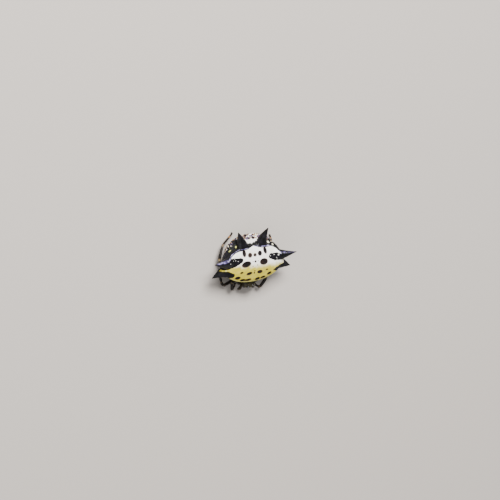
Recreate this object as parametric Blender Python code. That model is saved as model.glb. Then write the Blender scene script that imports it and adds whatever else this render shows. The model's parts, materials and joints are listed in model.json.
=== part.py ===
"""A spiny orb weaver: an adult female at life size, standing on the floor with her legs drawn in.

The origin lies on the floor under the body. The head looks along -Y, the rear is at +Y, the
back is up at +Z and +X is the animal's left. All lengths are metres, written in millimetres
times MM.
"""
import math

import bmesh
import bpy
from mathutils import Vector

MM = 0.001

# The abdomen: a wide armoured plate over a deep, cone-shaped underside
PLATE_HALF_WIDTH = 4.55 * MM
PLATE_HALF_LENGTH = 2.88 * MM
PLATE_CENTRE_Y = -0.36 * MM
PLATE_HEIGHT = 4.75 * MM
PLATE_TILT = math.radians(8.0)
ABDOMEN_SEGMENTS = 60
ABDOMEN_RINGS = 34

# Each profile runs from the middle of the back, over the rim, to the middle of the belly:
# reach as a share of the plate's half size, then height in millimetres above the plate's middle
SIDE_PROFILE = ((0.0, 0.0), (0.35, -0.02), (0.68, -0.08), (0.90, -0.22), (1.02, -0.52), (1.07, -0.92),
                (1.06, -1.42), (0.90, -2.10), (0.62, -2.78), (0.37, -3.36), (0.17, -3.78), (0.0, -3.88))
REAR_PROFILE = ((0.0, 0.0), (0.35, -0.06), (0.68, -0.26), (0.90, -0.50), (1.0, -0.82), (1.02, -1.12),
                (1.22, -1.66), (1.40, -2.40), (1.20, -3.12), (0.76, -3.62), (0.33, -3.84), (0.0, -3.88))
FRONT_PROFILE = ((0.0, 0.0), (0.35, -0.15), (0.68, -0.46), (0.90, -0.78), (1.0, -1.10), (0.90, -1.38),
                 (0.58, -1.62), (0.33, -2.10), (0.27, -2.85), (0.21, -3.45), (0.12, -3.80), (0.0, -3.88))

# Spines: foot and tip on the animal's left in the plate's own frame, half the foot's width and
# how far the middle bows towards the head or the side, in millimetres
SPINES = {
    "anterior": ((3.85, -0.90, -1.02), (6.22, -1.84, -1.38), 1.18, 0.05),
    "median": ((3.60, 0.37, -0.64), (6.48, 0.73, 0.26), 1.10, 0.08),
    "posterior": ((1.38, 1.50, -0.92), (2.37, 4.80, -0.52), 1.22, -0.16),
}
SPINE_ROOT = 0.50 * MM
SPINE_TIP_RADIUS = 0.045 * MM
SPINE_TAPER = 1.35
SPINE_FOOT_FLATNESS = 0.50
SPINE_ROUND_FROM = 0.60
SPINE_STEPS = 10
SPINE_BEVEL_RESOLUTION = 4

# Spinnerets, on the lowest point of the belly
SPINNERET_Y = -0.15 * MM
SPINNERET_TOP = -4.02 * MM
SPINNERET_DROP = 0.46 * MM
SPINNERET_RADIUS = 0.56 * MM
SPINNERET_LOBES = ((0.0, -0.20, 0.15), (0.19, 0.02, 0.16), (0.11, 0.24, 0.13))
SPINNERET_LOWER_SHARE = 0.66
SPINNERET_CONE_SHARE = 0.60
SPINNERET_LOBE_PLACE = 0.65
SPINNERET_SIDES = 24
LOBE_FACETS = (10, 8)

# The front body: stations of place along Y, half width, top and bottom, in millimetres
CARAPACE_STATIONS = ((-4.16, 0.0, 1.95, 1.95), (-4.12, 0.66, 2.34, 1.44), (-3.90, 0.93, 2.54, 1.32),
                     (-3.45, 1.02, 2.60, 1.30), (-3.02, 1.10, 2.48, 1.30), (-2.60, 1.30, 2.26, 1.30),
                     (-2.10, 1.40, 2.22, 1.30), (-1.70, 1.20, 2.08, 1.32), (-1.44, 0.76, 1.90, 1.40),
                     (-1.34, 0.0, 1.66, 1.66))
CARAPACE_WIDEST = 0.36
CARAPACE_SQUARENESS = 0.86
CARAPACE_SEGMENTS = 36
CARAPACE_RINGS = 24
NORMAL_STEP = 0.01
JOINT_GAP = 0.15 * MM

# Eyes: station along the head from 0 to 1, angle round it from +X, radius in millimetres
EYES = {
    "eye_front_median": (0.150, 66.0, 0.115),
    "eye_rear_median": (0.245, 71.0, 0.125),
    "eye_front_lateral": (0.170, 14.0, 0.105),
    "eye_rear_lateral": (0.235, 22.0, 0.105),
}
EYE_SINK = 0.25
EYE_GAP = 0.05 * MM
EYE_FACETS = (12, 8)
SOCKET_FACETS = (14, 10)

# The underside of the front body
COXA_HEIGHT = 0.88 * MM
PEDICEL_REAR = (0.0, -0.86, 1.80)
PEDICEL_RADIUS = 0.25 * MM
PEDICEL_BEVEL_RESOLUTION = 3
STERNUM_HALF_WIDTH = 0.44 * MM
STERNUM_FRONT = -3.22 * MM
STERNUM_REAR = -1.72 * MM
STERNUM_THICKNESS = 0.46 * MM
STERNUM_FACETS = (20, 12)
ENDITE_SIZE = (0.20 * MM, 0.26 * MM, 0.24 * MM)
ENDITE_PLACE = (0.21 * MM, -3.36 * MM, 0.86 * MM)
ENDITE_FACETS = (12, 10)

# Chelicerae: the jaws, with the fang folded in at the end
CHELICERA_TOP = (0.36, -3.98, 1.08)
CHELICERA_LOW = (0.33, -4.10, 0.46)
CHELICERA_RADIUS = 0.29 * MM
FANG_RADIUS = 0.09 * MM
FANG_MOVES = ((0.08, 0.02, 0.06), (0.04, 0.0, -0.12), (-0.14, 0.06, -0.15))
CHELICERA_SWELL = ((0.0, 0.80), (0.12, 0.98), (0.5, 1.0), (0.88, 0.80), (1.0, 0.55))
FANG_SWELL = (1.0, 0.9, 0.45)
CHELICERA_BEVEL_RESOLUTION = 4
FANG_BEVEL_RESOLUTION = 2

PALP_ROUTE = ((0.62, -3.68, 0.90), (0.98, -4.10, 1.16), (1.12, -4.44, 1.00), (1.12, -4.50, 0.44))
PALP_RADII = (0.19, 0.21, 0.20, 0.23)
PALP_BEVEL_RESOLUTION = 2

# Legs: every joint of each leg, in millimetres, with x counted outwards from the middle.
# The joints are the hip, the trochanter's end, the knee, the patella's end, the ankle and the tip.
LEGS = {
    "leg_1_left": ((0.62, -3.30), (1.10, -3.62, 1.00), (2.50, -2.62, 1.80), (2.93, -3.22, 1.82),
                   (1.93, -4.64, 1.27), (1.12, -3.80)),
    "leg_1_right": ((0.62, -3.30), (1.10, -3.62, 1.00), (2.18, -2.76, 1.86), (2.64, -3.10, 1.92),
                    (2.50, -4.38, 1.27), (1.46, -3.72)),
    "leg_2_left": ((0.78, -2.72), (1.34, -2.76, 0.84), (3.20, -2.52, 0.98), (3.74, -2.14, 1.04),
                   (4.14, -1.34, 0.92), (3.86, -0.72)),
    "leg_2_right": ((0.78, -2.72), (1.34, -2.76, 0.84), (3.66, -3.56, 0.94), (3.96, -2.92, 1.04),
                    (4.02, -1.78, 0.94), (3.55, -1.12)),
    "leg_3_left": ((0.78, -2.12), (1.34, -2.08, 0.86), (2.34, -2.00, 1.20), (2.84, -1.82, 1.16),
                   (3.20, -1.50, 0.78), (3.00, -0.98)),
    "leg_3_right": ((0.78, -2.12), (1.34, -2.08, 0.86), (2.30, -2.08, 1.18), (2.80, -1.92, 1.14),
                    (3.12, -1.62, 0.76), (2.92, -1.08)),
    "leg_4_left": ((0.62, -1.52), (1.12, -1.26, 0.96), (3.52, -0.62, 1.40), (4.06, 0.06, 1.52),
                   (4.40, 1.45, 1.34), (4.58, 2.62)),
    "leg_4_right": ((0.62, -1.52), (1.12, -1.26, 0.96), (3.90, -0.34, 1.44), (4.24, 0.50, 1.56),
                    (3.36, 2.53, 1.22), (1.36, 3.82)),
}
LEG_RADII = (0.27, 0.235, 0.25, 0.235, 0.20, 0.19, 0.17)
SEGMENT_SWELL = 0.045
FOOT_LENGTH = 0.40
CORNER_LENGTH = 0.62
CORNER_SHARE = 0.45
CORNER_STEPS = 5
STRAIGHT_FROM = 0.60
STRAIGHT_STEPS = 3
LEG_BEVEL_RESOLUTION = 3

MERGE = 1.0e-7
SLIVER = 2.0e-6

COLOURS = {
    "plate": ((0.86, 0.82, 0.62, 1.0), 0.38),
    "dark": ((0.035, 0.028, 0.020, 1.0), 0.34),
    "head": ((0.050, 0.038, 0.022, 1.0), 0.40),
    "eye": ((0.010, 0.009, 0.012, 1.0), 0.10),
}


def clear_scene():
    for item in list(bpy.data.objects):
        bpy.data.objects.remove(item, do_unlink=True)


def new_collection(name):
    group = bpy.data.collections.new(name)
    bpy.context.scene.collection.children.link(group)
    return group


def new_material(name, finish):
    colour, roughness = COLOURS[finish]
    material = bpy.data.materials.new(name)
    material.use_nodes = True
    shader = material.node_tree.nodes["Principled BSDF"]
    shader.inputs["Base Color"].default_value = colour
    shader.inputs["Roughness"].default_value = roughness
    shader.inputs["Metallic"].default_value = 0.0
    material.diffuse_color = colour
    return material


def mesh_object(name, bm, group, finish=None):
    """Turn an edit mesh into an object of a collection, shaded smooth."""
    bmesh.ops.recalc_face_normals(bm, faces=bm.faces[:])
    mesh = bpy.data.meshes.new(name)
    bm.to_mesh(mesh)
    bm.free()
    mesh.shade_smooth()
    made = bpy.data.objects.new(name, mesh)
    group.objects.link(made)
    if finish:
        mesh.materials.append(new_material(name + "_finish", finish))
    return made


def hide_tool(item):
    item.hide_render = True
    item.display_type = "WIRE"
    return item


def through_points(points, place):
    """Read a smooth curve through evenly counted points; place runs from 0 to the last index."""
    last = len(points) - 1
    index = min(int(place), last - 1)
    share = place - index
    before = points[max(index - 1, 0)]
    after = points[min(index + 2, last)]
    values = []
    for a, b, c, d in zip(before, points[index], points[index + 1], after):
        bend = 2.0 * a - 5.0 * b + 4.0 * c - d
        twist = 3.0 * b - a - 3.0 * c + d
        values.append(0.5 * (2.0 * b + (c - a) * share + bend * share ** 2 + twist * share ** 3))
    return values


def abdomen_point(around, along):
    """Give the abdomen's surface at an angle round it and a share from back to belly."""
    place = along * (len(SIDE_PROFILE) - 1)
    side_reach, side_height = through_points(SIDE_PROFILE, place)
    ends = REAR_PROFILE if math.sin(around) > 0.0 else FRONT_PROFILE
    end_reach, end_height = through_points(ends, place)
    end_share = math.sin(around) ** 2
    reach = side_reach + (end_reach - side_reach) * end_share
    height = side_height + (end_height - side_height) * end_share
    x = PLATE_HALF_WIDTH * reach * math.cos(around)
    y = PLATE_CENTRE_Y + PLATE_HALF_LENGTH * reach * math.sin(around)
    return Vector((x, y, height * MM))


def abdomen_shell():
    """Shape a sphere into the plate, its rim and the underside."""
    bm = bmesh.new()
    bmesh.ops.create_uvsphere(bm, u_segments=ABDOMEN_SEGMENTS, v_segments=ABDOMEN_RINGS, radius=1.0)
    for vert in bm.verts:
        around = math.atan2(vert.co.y, vert.co.x)
        along = math.acos(max(-1.0, min(1.0, vert.co.z))) / math.pi
        vert.co = abdomen_point(around, along)
    return bm


def tube_mesh(name, points, radii, resolution):
    """Sweep a round section of changing radius along points; ends are flat and closed."""
    curve = bpy.data.curves.new(name, "CURVE")
    curve.dimensions = "3D"
    curve.bevel_depth = MM
    curve.bevel_resolution = resolution
    curve.use_fill_caps = True
    spline = curve.splines.new("POLY")
    spline.points.add(len(points) - 1)
    for knot, point, radius in zip(spline.points, points, radii):
        knot.co = (*point, 1.0)
        knot.radius = radius / MM
    carrier = bpy.data.objects.new(name, curve)
    bpy.context.scene.collection.objects.link(carrier)
    bpy.context.view_layer.update()
    graph = bpy.context.evaluated_depsgraph_get()
    mesh = bpy.data.meshes.new_from_object(carrier.evaluated_get(graph))
    bm = bmesh.new()
    bm.from_mesh(mesh)
    bpy.data.objects.remove(carrier, do_unlink=True)
    bpy.data.meshes.remove(mesh)
    bmesh.ops.remove_doubles(bm, verts=bm.verts[:], dist=MERGE)
    return bm


def spine_mesh(kind, side):
    """A curved thorn, broad and flat at its foot; its root runs on into the body."""
    foot, tip, foot_radius, bow = SPINES[kind]
    start = Vector(foot) * MM
    end = Vector(tip) * MM
    run = end - start
    bend = run.cross(Vector((0.0, 0.0, 1.0))).normalized() * bow * MM
    points = [start - run.normalized() * SPINE_ROOT]
    radii = [foot_radius * MM]
    for step in range(SPINE_STEPS + 1):
        share = step / SPINE_STEPS
        points.append(start + run * share + bend * math.sin(math.pi * share))
        taper = (1.0 - share) ** SPINE_TAPER
        radii.append(SPINE_TIP_RADIUS + (foot_radius * MM - SPINE_TIP_RADIUS) * taper)
    bm = tube_mesh(kind, points, radii, SPINE_BEVEL_RESOLUTION)
    for vert in bm.verts:
        share = max(0.0, min(1.0, (vert.co - start).dot(run) / run.length_squared))
        flatness = SPINE_FOOT_FLATNESS + (1.0 - SPINE_FOOT_FLATNESS) * min(1.0, share / SPINE_ROUND_FROM)
        axis_height = start.z + run.z * share
        vert.co.z = axis_height + (vert.co.z - axis_height) * flatness
        vert.co.x *= side
    return bm


def keep_largest_surface(item):
    """Weld slivers and keep the one closed surface that holds the most faces."""
    bm = bmesh.new()
    bm.from_mesh(item.data)
    bmesh.ops.remove_doubles(bm, verts=bm.verts[:], dist=SLIVER)
    bmesh.ops.dissolve_degenerate(bm, dist=SLIVER / 2.0, edges=bm.edges[:])
    unseen = set(bm.faces)
    shells = []
    while unseen:
        shell = set()
        border = [unseen.pop()]
        while border:
            face = border.pop()
            shell.add(face)
            near = {other for edge in face.edges for other in edge.link_faces}
            fresh = near & unseen
            unseen -= fresh
            border.extend(fresh)
        shells.append(shell)
    shells.sort(key=len)
    loose = [face for shell in shells[:-1] for face in shell]
    bmesh.ops.delete(bm, geom=loose, context="FACES")
    bm.to_mesh(item.data)
    bm.free()


def apply_boolean(base, pieces, operation):
    """Join pieces to the base, or cut them from it, with one Boolean, and remove them."""
    modifier = base.modifiers.new(operation.title(), "BOOLEAN")
    modifier.operation = operation
    modifier.operand_type = "COLLECTION"
    modifier.collection = pieces
    modifier.solver = "EXACT"
    bpy.context.view_layer.update()
    graph = bpy.context.evaluated_depsgraph_get()
    joined = bpy.data.meshes.new_from_object(base.evaluated_get(graph))
    base.modifiers.clear()
    base.data = joined
    for item in list(pieces.objects):
        bpy.data.objects.remove(item, do_unlink=True)
    bpy.data.collections.remove(pieces)
    keep_largest_surface(base)
    base.data.shade_smooth()


def build_abdomen(group, frame):
    abdomen = mesh_object("abdomen", abdomen_shell(), group, "plate")
    pieces = new_collection("abdomen_spines")
    for kind in SPINES:
        for side in (1.0, -1.0):
            hide_tool(mesh_object("spine", spine_mesh(kind, side), pieces))
    apply_boolean(abdomen, pieces, "UNION")
    abdomen.parent = frame


def ellipsoid(size, centre, facets):
    bm = bmesh.new()
    bmesh.ops.create_uvsphere(bm, u_segments=facets[0], v_segments=facets[1], radius=1.0)
    bmesh.ops.scale(bm, vec=size, verts=bm.verts[:])
    bmesh.ops.translate(bm, vec=centre, verts=bm.verts[:])
    return bm


def build_spinnerets(group, frame):
    """A short ringed cone with three pairs of blunt lobes round its end."""
    cone_height = SPINNERET_DROP * SPINNERET_CONE_SHARE
    lobe_height = SPINNERET_TOP - SPINNERET_DROP * SPINNERET_LOBE_PLACE
    cone = bmesh.new()
    bmesh.ops.create_cone(cone, cap_ends=True, segments=SPINNERET_SIDES,
                          radius1=SPINNERET_RADIUS * SPINNERET_LOWER_SHARE,
                          radius2=SPINNERET_RADIUS, depth=cone_height)
    rise = Vector((0.0, SPINNERET_Y, SPINNERET_TOP - cone_height / 2.0))
    bmesh.ops.translate(cone, vec=rise, verts=cone.verts[:])
    base = mesh_object("spinnerets", cone, group, "dark")
    pieces = new_collection("spinneret_lobes")
    for x, y, radius in SPINNERET_LOBES:
        for side in ((1.0, -1.0) if x else (1.0,)):
            place = Vector((x * side * MM, SPINNERET_Y + y * MM, lobe_height))
            size = (radius * MM, radius * MM, SPINNERET_DROP / 2.0)
            hide_tool(mesh_object("lobe", ellipsoid(size, place, LOBE_FACETS), pieces))
    apply_boolean(base, pieces, "UNION")
    base.parent = frame


def carapace_point(along, around):
    """Give the head shield's surface from front (0) to rear (1), at an angle round its length."""
    y, half_width, top, bottom = through_points(CARAPACE_STATIONS, along * (len(CARAPACE_STATIONS) - 1))
    half_width = max(half_width, 0.0)
    widest = bottom + (top - bottom) * CARAPACE_WIDEST
    across = math.cos(around)
    rise = math.sin(around)
    across = math.copysign(abs(across) ** CARAPACE_SQUARENESS, across)
    rise = math.copysign(abs(rise) ** CARAPACE_SQUARENESS, rise)
    reach = top - widest if rise > 0.0 else widest - bottom
    return Vector((half_width * across, y, widest + reach * rise)) * MM


def carapace_normal(along, around):
    run = carapace_point(along + NORMAL_STEP, around) - carapace_point(along - NORMAL_STEP, around)
    turn = carapace_point(along, around + NORMAL_STEP) - carapace_point(along, around - NORMAL_STEP)
    return turn.cross(run).normalized()


def eye_places():
    """List every eye with its side, centre and radius, set into the head by a share of its size."""
    places = []
    for name, (along, degrees, radius) in EYES.items():
        for side, word in ((1.0, "left"), (-1.0, "right")):
            around = math.radians(degrees)
            normal = carapace_normal(along, around)
            centre = carapace_point(along, around) - normal * radius * MM * EYE_SINK
            centre.x *= side
            places.append((name + "_" + word, centre, radius * MM))
    return places


def build_carapace(group):
    bm = bmesh.new()
    bmesh.ops.create_uvsphere(bm, u_segments=CARAPACE_SEGMENTS, v_segments=CARAPACE_RINGS, radius=1.0)
    for vert in bm.verts:
        along = math.acos(max(-1.0, min(1.0, vert.co.z))) / math.pi
        around = math.atan2(vert.co.y, vert.co.x)
        vert.co = carapace_point(along, around)
    carapace = mesh_object("carapace", bm, group, "head")
    sockets = new_collection("eye_sockets")
    for name, centre, radius in eye_places():
        size = [radius + EYE_GAP] * 3
        hide_tool(mesh_object("socket", ellipsoid(size, centre, SOCKET_FACETS), sockets))
    apply_boolean(carapace, sockets, "DIFFERENCE")


def build_eyes(group):
    for name, centre, radius in eye_places():
        mesh_object(name, ellipsoid([radius] * 3, centre, EYE_FACETS), group, "eye")


def build_pedicel(group):
    """The narrow waist between the front body and the abdomen."""
    start = Vector((0.0, CARAPACE_STATIONS[-1][0], CARAPACE_STATIONS[-1][2])) * MM
    start.y += JOINT_GAP
    end = Vector(PEDICEL_REAR) * MM
    points = [start, start.lerp(end, 0.5), end]
    radii = [PEDICEL_RADIUS] * len(points)
    mesh_object("pedicel", tube_mesh("pedicel", points, radii, PEDICEL_BEVEL_RESOLUTION), group, "dark")


def build_sternum(group):
    """The breast plate between the hips, with the two lobes beside the mouth."""
    length = STERNUM_REAR - STERNUM_FRONT
    centre = Vector((0.0, (STERNUM_REAR + STERNUM_FRONT) / 2.0, COXA_HEIGHT))
    size = (STERNUM_HALF_WIDTH, length / 2.0, STERNUM_THICKNESS / 2.0)
    plate = ellipsoid(size, centre, STERNUM_FACETS)
    base = mesh_object("sternum", plate, group, "dark")
    pieces = new_collection("mouth_lobes")
    for side in (1.0, -1.0):
        place = Vector(ENDITE_PLACE)
        place.x *= side
        hide_tool(mesh_object("lobe", ellipsoid(ENDITE_SIZE, place, ENDITE_FACETS), pieces))
    apply_boolean(base, pieces, "UNION")


def build_chelicera(group, side, word):
    """One jaw: a stout block that narrows downwards, with the fang folded across its end."""
    top = Vector(CHELICERA_TOP) * MM
    low = Vector(CHELICERA_LOW) * MM
    points = [top.lerp(low, share) for share, swell in CHELICERA_SWELL]
    radii = [CHELICERA_RADIUS * swell for share, swell in CHELICERA_SWELL]
    fang = [low + Vector(move) * MM for move in FANG_MOVES]
    for point in points + fang:
        point.x *= side
    block = tube_mesh("jaw", points, radii, CHELICERA_BEVEL_RESOLUTION)
    jaw = mesh_object("chelicera_" + word, block, group, "dark")
    pieces = new_collection("fang")
    fang_radii = [FANG_RADIUS * swell for swell in FANG_SWELL]
    hide_tool(mesh_object("fang", tube_mesh("fang", fang, fang_radii, FANG_BEVEL_RESOLUTION), pieces))
    apply_boolean(jaw, pieces, "UNION")


def rounded_route(joints, radii):
    """Round the corners between joints and give points with the radius at each."""
    places = [(joints[0], radii[0])]
    for index in range(1, len(joints) - 1):
        before, corner, after = joints[index - 1], joints[index], joints[index + 1]
        reach_in = min(CORNER_LENGTH * MM, (corner - before).length * CORNER_SHARE)
        reach_out = min(CORNER_LENGTH * MM, (after - corner).length * CORNER_SHARE)
        start = corner + (before - corner).normalized() * reach_in
        end = corner + (after - corner).normalized() * reach_out
        for step in range(CORNER_STEPS + 1):
            share = step / CORNER_STEPS
            point = start.lerp(corner, share).lerp(corner.lerp(end, share), share)
            places.append((point, radii[index]))
    places.append((joints[-1], radii[-1]))
    route = [places[0]]
    for (point_a, radius_a), (point_b, radius_b) in zip(places, places[1:]):
        gap = (point_b - point_a).length
        steps = STRAIGHT_STEPS if gap > CORNER_LENGTH * MM * STRAIGHT_FROM else 1
        for step in range(1, steps + 1):
            share = step / steps
            swell = SEGMENT_SWELL * math.sin(math.pi * share) if steps > 1 else 0.0
            route.append((point_a.lerp(point_b, share), radius_a + (radius_b - radius_a) * share + swell))
    return route


def leg_joints(name):
    side = 1.0 if name.endswith("left") else -1.0
    hip, trochanter, knee, patella, ankle, tip = LEGS[name]
    joints = [(*hip, COXA_HEIGHT / MM), trochanter, knee, patella, ankle, (*tip, FOOT_LENGTH), (*tip, 0.0)]
    return [Vector((x * side, y, z)) * MM for x, y, z in joints]


def build_leg(group, name):
    route = rounded_route(leg_joints(name), LEG_RADII)
    points = [point for point, radius in route]
    radii = [radius * MM for point, radius in route]
    mesh_object(name, tube_mesh(name, points, radii, LEG_BEVEL_RESOLUTION), group, "dark")


def build_palp(group, side, word):
    joints = [Vector((x * side, y, z)) * MM for x, y, z in PALP_ROUTE]
    route = rounded_route(joints, PALP_RADII)
    points = [point for point, radius in route]
    radii = [radius * MM for point, radius in route]
    mesh_object("palp_" + word, tube_mesh("palp", points, radii, PALP_BEVEL_RESOLUTION), group, "dark")


def main():
    clear_scene()
    group = new_collection("spiny_orb_weaver")
    frame = bpy.data.objects.new("abdomen_frame", None)
    group.objects.link(frame)
    frame.location = (0.0, 0.0, PLATE_HEIGHT)
    frame.rotation_euler = (PLATE_TILT, 0.0, 0.0)
    build_abdomen(group, frame)
    build_spinnerets(group, frame)
    build_carapace(group)
    build_eyes(group)
    build_pedicel(group)
    build_sternum(group)
    for side, word in ((1.0, "left"), (-1.0, "right")):
        build_chelicera(group, side, word)
        build_palp(group, side, word)
    for name in LEGS:
        build_leg(group, name)


main()
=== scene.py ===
# %% [markdown]
# # A spiny orb weaver at life size
# The real animal is a small spider. Her back is one hard, wide plate with six thorns, and it hides
# nearly all of the head and the legs. She is 13 mm across from thorn to thorn.
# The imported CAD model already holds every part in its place. This script gives it a finer skin,
# the markings, the bristles and the light. Every piece is modelled a thousand times too large, so
# that one unit is a millimetre, because some of Blender's tools don't work on parts that are this
# small. It is then brought to life size and fitted where the CAD part is.

import json
import math
import random

import bpy
import numpy as np
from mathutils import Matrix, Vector, noise

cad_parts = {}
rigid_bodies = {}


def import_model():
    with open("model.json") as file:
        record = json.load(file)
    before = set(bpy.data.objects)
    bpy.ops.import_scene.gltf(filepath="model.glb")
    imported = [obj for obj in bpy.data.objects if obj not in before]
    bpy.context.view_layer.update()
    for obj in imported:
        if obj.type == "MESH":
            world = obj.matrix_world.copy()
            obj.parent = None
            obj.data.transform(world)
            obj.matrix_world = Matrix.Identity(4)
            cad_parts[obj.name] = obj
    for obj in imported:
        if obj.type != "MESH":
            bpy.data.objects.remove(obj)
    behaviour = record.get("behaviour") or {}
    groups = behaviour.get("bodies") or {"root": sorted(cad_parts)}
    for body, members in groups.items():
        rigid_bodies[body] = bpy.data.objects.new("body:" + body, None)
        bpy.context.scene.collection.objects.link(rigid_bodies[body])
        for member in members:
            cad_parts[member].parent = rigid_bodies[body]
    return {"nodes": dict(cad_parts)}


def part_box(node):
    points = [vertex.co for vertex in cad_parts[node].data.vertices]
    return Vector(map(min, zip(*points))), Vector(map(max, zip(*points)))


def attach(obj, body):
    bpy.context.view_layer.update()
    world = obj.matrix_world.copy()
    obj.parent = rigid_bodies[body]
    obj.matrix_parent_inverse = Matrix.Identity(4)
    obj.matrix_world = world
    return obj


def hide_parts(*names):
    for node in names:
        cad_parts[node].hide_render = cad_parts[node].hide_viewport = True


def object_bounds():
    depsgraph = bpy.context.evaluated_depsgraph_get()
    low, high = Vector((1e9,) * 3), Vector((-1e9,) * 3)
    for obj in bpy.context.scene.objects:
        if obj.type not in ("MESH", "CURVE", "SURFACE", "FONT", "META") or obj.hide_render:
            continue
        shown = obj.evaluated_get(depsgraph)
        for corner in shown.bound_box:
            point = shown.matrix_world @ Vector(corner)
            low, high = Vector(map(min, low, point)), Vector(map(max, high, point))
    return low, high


MM = 0.001
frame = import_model()
cad_box = [list(corner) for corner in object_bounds()]
print("CAD box in mm:", [[round(value / MM, 2) for value in corner] for corner in cad_box])

# %% [markdown]
# ## Camera
# The animal was seen from above, a little from behind and from her right side. Six thorn tips and
# the plate's outline give the direction, the turn and the scale. A long lens far away keeps the
# view as flat as it is in a close-up photograph.

# %% Camera
VIEW_RIGHT = Vector((0.9067, -0.0688, 0.4162))
VIEW_UP = Vector((0.1534, 0.9729, -0.1732))
VIEW_OUT = Vector((-0.3930, 0.2209, 0.8926))
VIEW_WIDTH = 72.065 * MM
VIEW_SHIFT_RIGHT = -0.7462 * MM
VIEW_SHIFT_UP = 1.8241 * MM
CAMERA_DISTANCE = 0.6
NEAREST, FURTHEST = 0.01, 20.0
SENSOR = 36.0
# where the middle of the plate stands in mm, and how far it slopes down towards the head
PLATE_HEIGHT = 4.75
PLATE_TILT = math.radians(8.0)

plate_middle = Vector((0.0, 0.0, PLATE_HEIGHT * MM))
aim = plate_middle + VIEW_RIGHT * VIEW_SHIFT_RIGHT + VIEW_UP * VIEW_SHIFT_UP
bpy.ops.object.camera_add(location=aim + VIEW_OUT * CAMERA_DISTANCE)
camera = bpy.context.object
camera.rotation_euler = VIEW_OUT.to_track_quat("Z", "Y").to_euler()
bpy.context.view_layer.update()
turned = camera.matrix_world.to_3x3().inverted() @ VIEW_UP
camera.rotation_euler.rotate_axis("Z", math.atan2(-turned.x, turned.y))
camera.data.sensor_width = SENSOR
camera.data.lens = SENSOR * CAMERA_DISTANCE / VIEW_WIDTH
camera.data.clip_start = NEAREST
camera.data.clip_end = FURTHEST
bpy.context.scene.camera = camera
print("camera height in mm:", round(camera.location.z / MM), "lens:", round(camera.data.lens, 1))

# %% [markdown]
# ## Helpers for shaping
# Most parts of an animal are bent, swollen tubes or domes, which no primitive gives. A ball is the
# best start: it is closed, and it has rings and sides that can be counted. Each ring is then
# moved along a route, as a sculptor pulls clay along a wire.

# %% Helpers for shaping
def deselect_all():
    """Leave nothing selected, since operators act on all that is."""
    bpy.ops.object.select_all(action="DESELECT")


def select_only(piece):
    deselect_all()
    piece.select_set(True)
    bpy.context.view_layer.objects.active = piece


def add_ball(name, sides, rings):
    """Add a ball with a radius of 1 mm, drawn a thousand times too large."""
    deselect_all()
    bpy.ops.mesh.primitive_uv_sphere_add(segments=sides, ring_count=rings, radius=1.0)
    ball = bpy.context.object
    ball.name = name
    ball.data.name = name
    return ball


def read_points(piece):
    points = np.empty(len(piece.data.vertices) * 3)
    piece.data.vertices.foreach_get("co", points)
    return points.reshape(-1, 3)


def write_points(piece, points):
    piece.data.vertices.foreach_set("co", np.asarray(points, float).ravel())
    piece.data.update()


def read_normals(piece):
    normals = np.empty(len(piece.data.vertices) * 3)
    piece.data.vertex_normals.foreach_get("vector", normals)
    return normals.reshape(-1, 3)


def ball_angles(ball):
    """Give each point's share of the way from pole to pole and its angle round the axis."""
    x, y, z = read_points(ball).T
    return np.arccos(np.clip(z, -1.0, 1.0)) / math.pi, np.arctan2(y, x)


def smooth_table(table, place):
    """Read the rows of a table along a smooth curve; place runs from 0 to the last row."""
    rows = np.array(table, float)
    last = len(rows) - 1
    index = np.clip(place.astype(int), 0, last - 1)
    share = (place - index)[:, None]
    a, b = rows[np.maximum(index - 1, 0)], rows[index]
    c, d = rows[index + 1], rows[np.minimum(index + 2, last)]
    bend = 2.0 * a - 5.0 * b + 4.0 * c - d
    twist = 3.0 * b - a - 3.0 * c + d
    return 0.5 * (2.0 * b + (c - a) * share + bend * share ** 2 + twist * share ** 3)


def soft_step(value, low, high):
    """Rise smoothly from 0 at low to 1 at high; low may be the larger."""
    share = np.clip((value - low) / (high - low), 0.0, 1.0)
    return share * share * (3.0 - 2.0 * share)


def lengths(vectors):
    return np.sqrt((vectors ** 2).sum(axis=1))


def rough(points, size, seed=0.0):
    """Even noise from about -1 to 1, with lumps of about the given size in mm."""
    return np.array([noise.noise(Vector(point) / size + Vector((seed, seed, seed))) for point in points])


def add_field(piece, name, values):
    """Keep one number for each point, for the material to read."""
    field = piece.data.attributes.new(name, "FLOAT", "POINT")
    field.data.foreach_set("value", np.asarray(values, np.float32))


def apply_modifiers(piece):
    select_only(piece)
    for modifier in list(piece.modifiers):
        bpy.ops.object.modifier_apply(modifier=modifier.name)


def turn_faces_out(piece):
    """Make every face of a closed shape point outwards."""
    select_only(piece)
    bpy.ops.object.mode_set(mode="EDIT")
    bpy.ops.mesh.select_all(action="SELECT")
    bpy.ops.mesh.normals_make_consistent(inside=False)
    bpy.ops.object.mode_set(mode="OBJECT")


def edit_cap(piece, way):
    """Go into edit mode with only the flat cap that looks up (1.0) or down (-1.0) selected."""
    bpy.ops.object.mode_set(mode="EDIT")
    bpy.ops.mesh.select_all(action="DESELECT")
    bpy.ops.object.mode_set(mode="OBJECT")
    for face in piece.data.polygons:
        face.select = face.normal.z * way > 0.9
    bpy.ops.object.mode_set(mode="EDIT")


def join_pieces(first, others):
    select_only(first)
    for other in others:
        other.select_set(True)
    bpy.ops.object.join()


def melt_together(piece, grain):
    """Turn crossing shells into one closed skin of even small squares."""
    piece.modifiers.clear()
    remesh = piece.modifiers.new("Melt", "REMESH")
    remesh.mode = "VOXEL"
    remesh.voxel_size = grain
    apply_modifiers(piece)


WEIGHT_STEPS = 10


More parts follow.
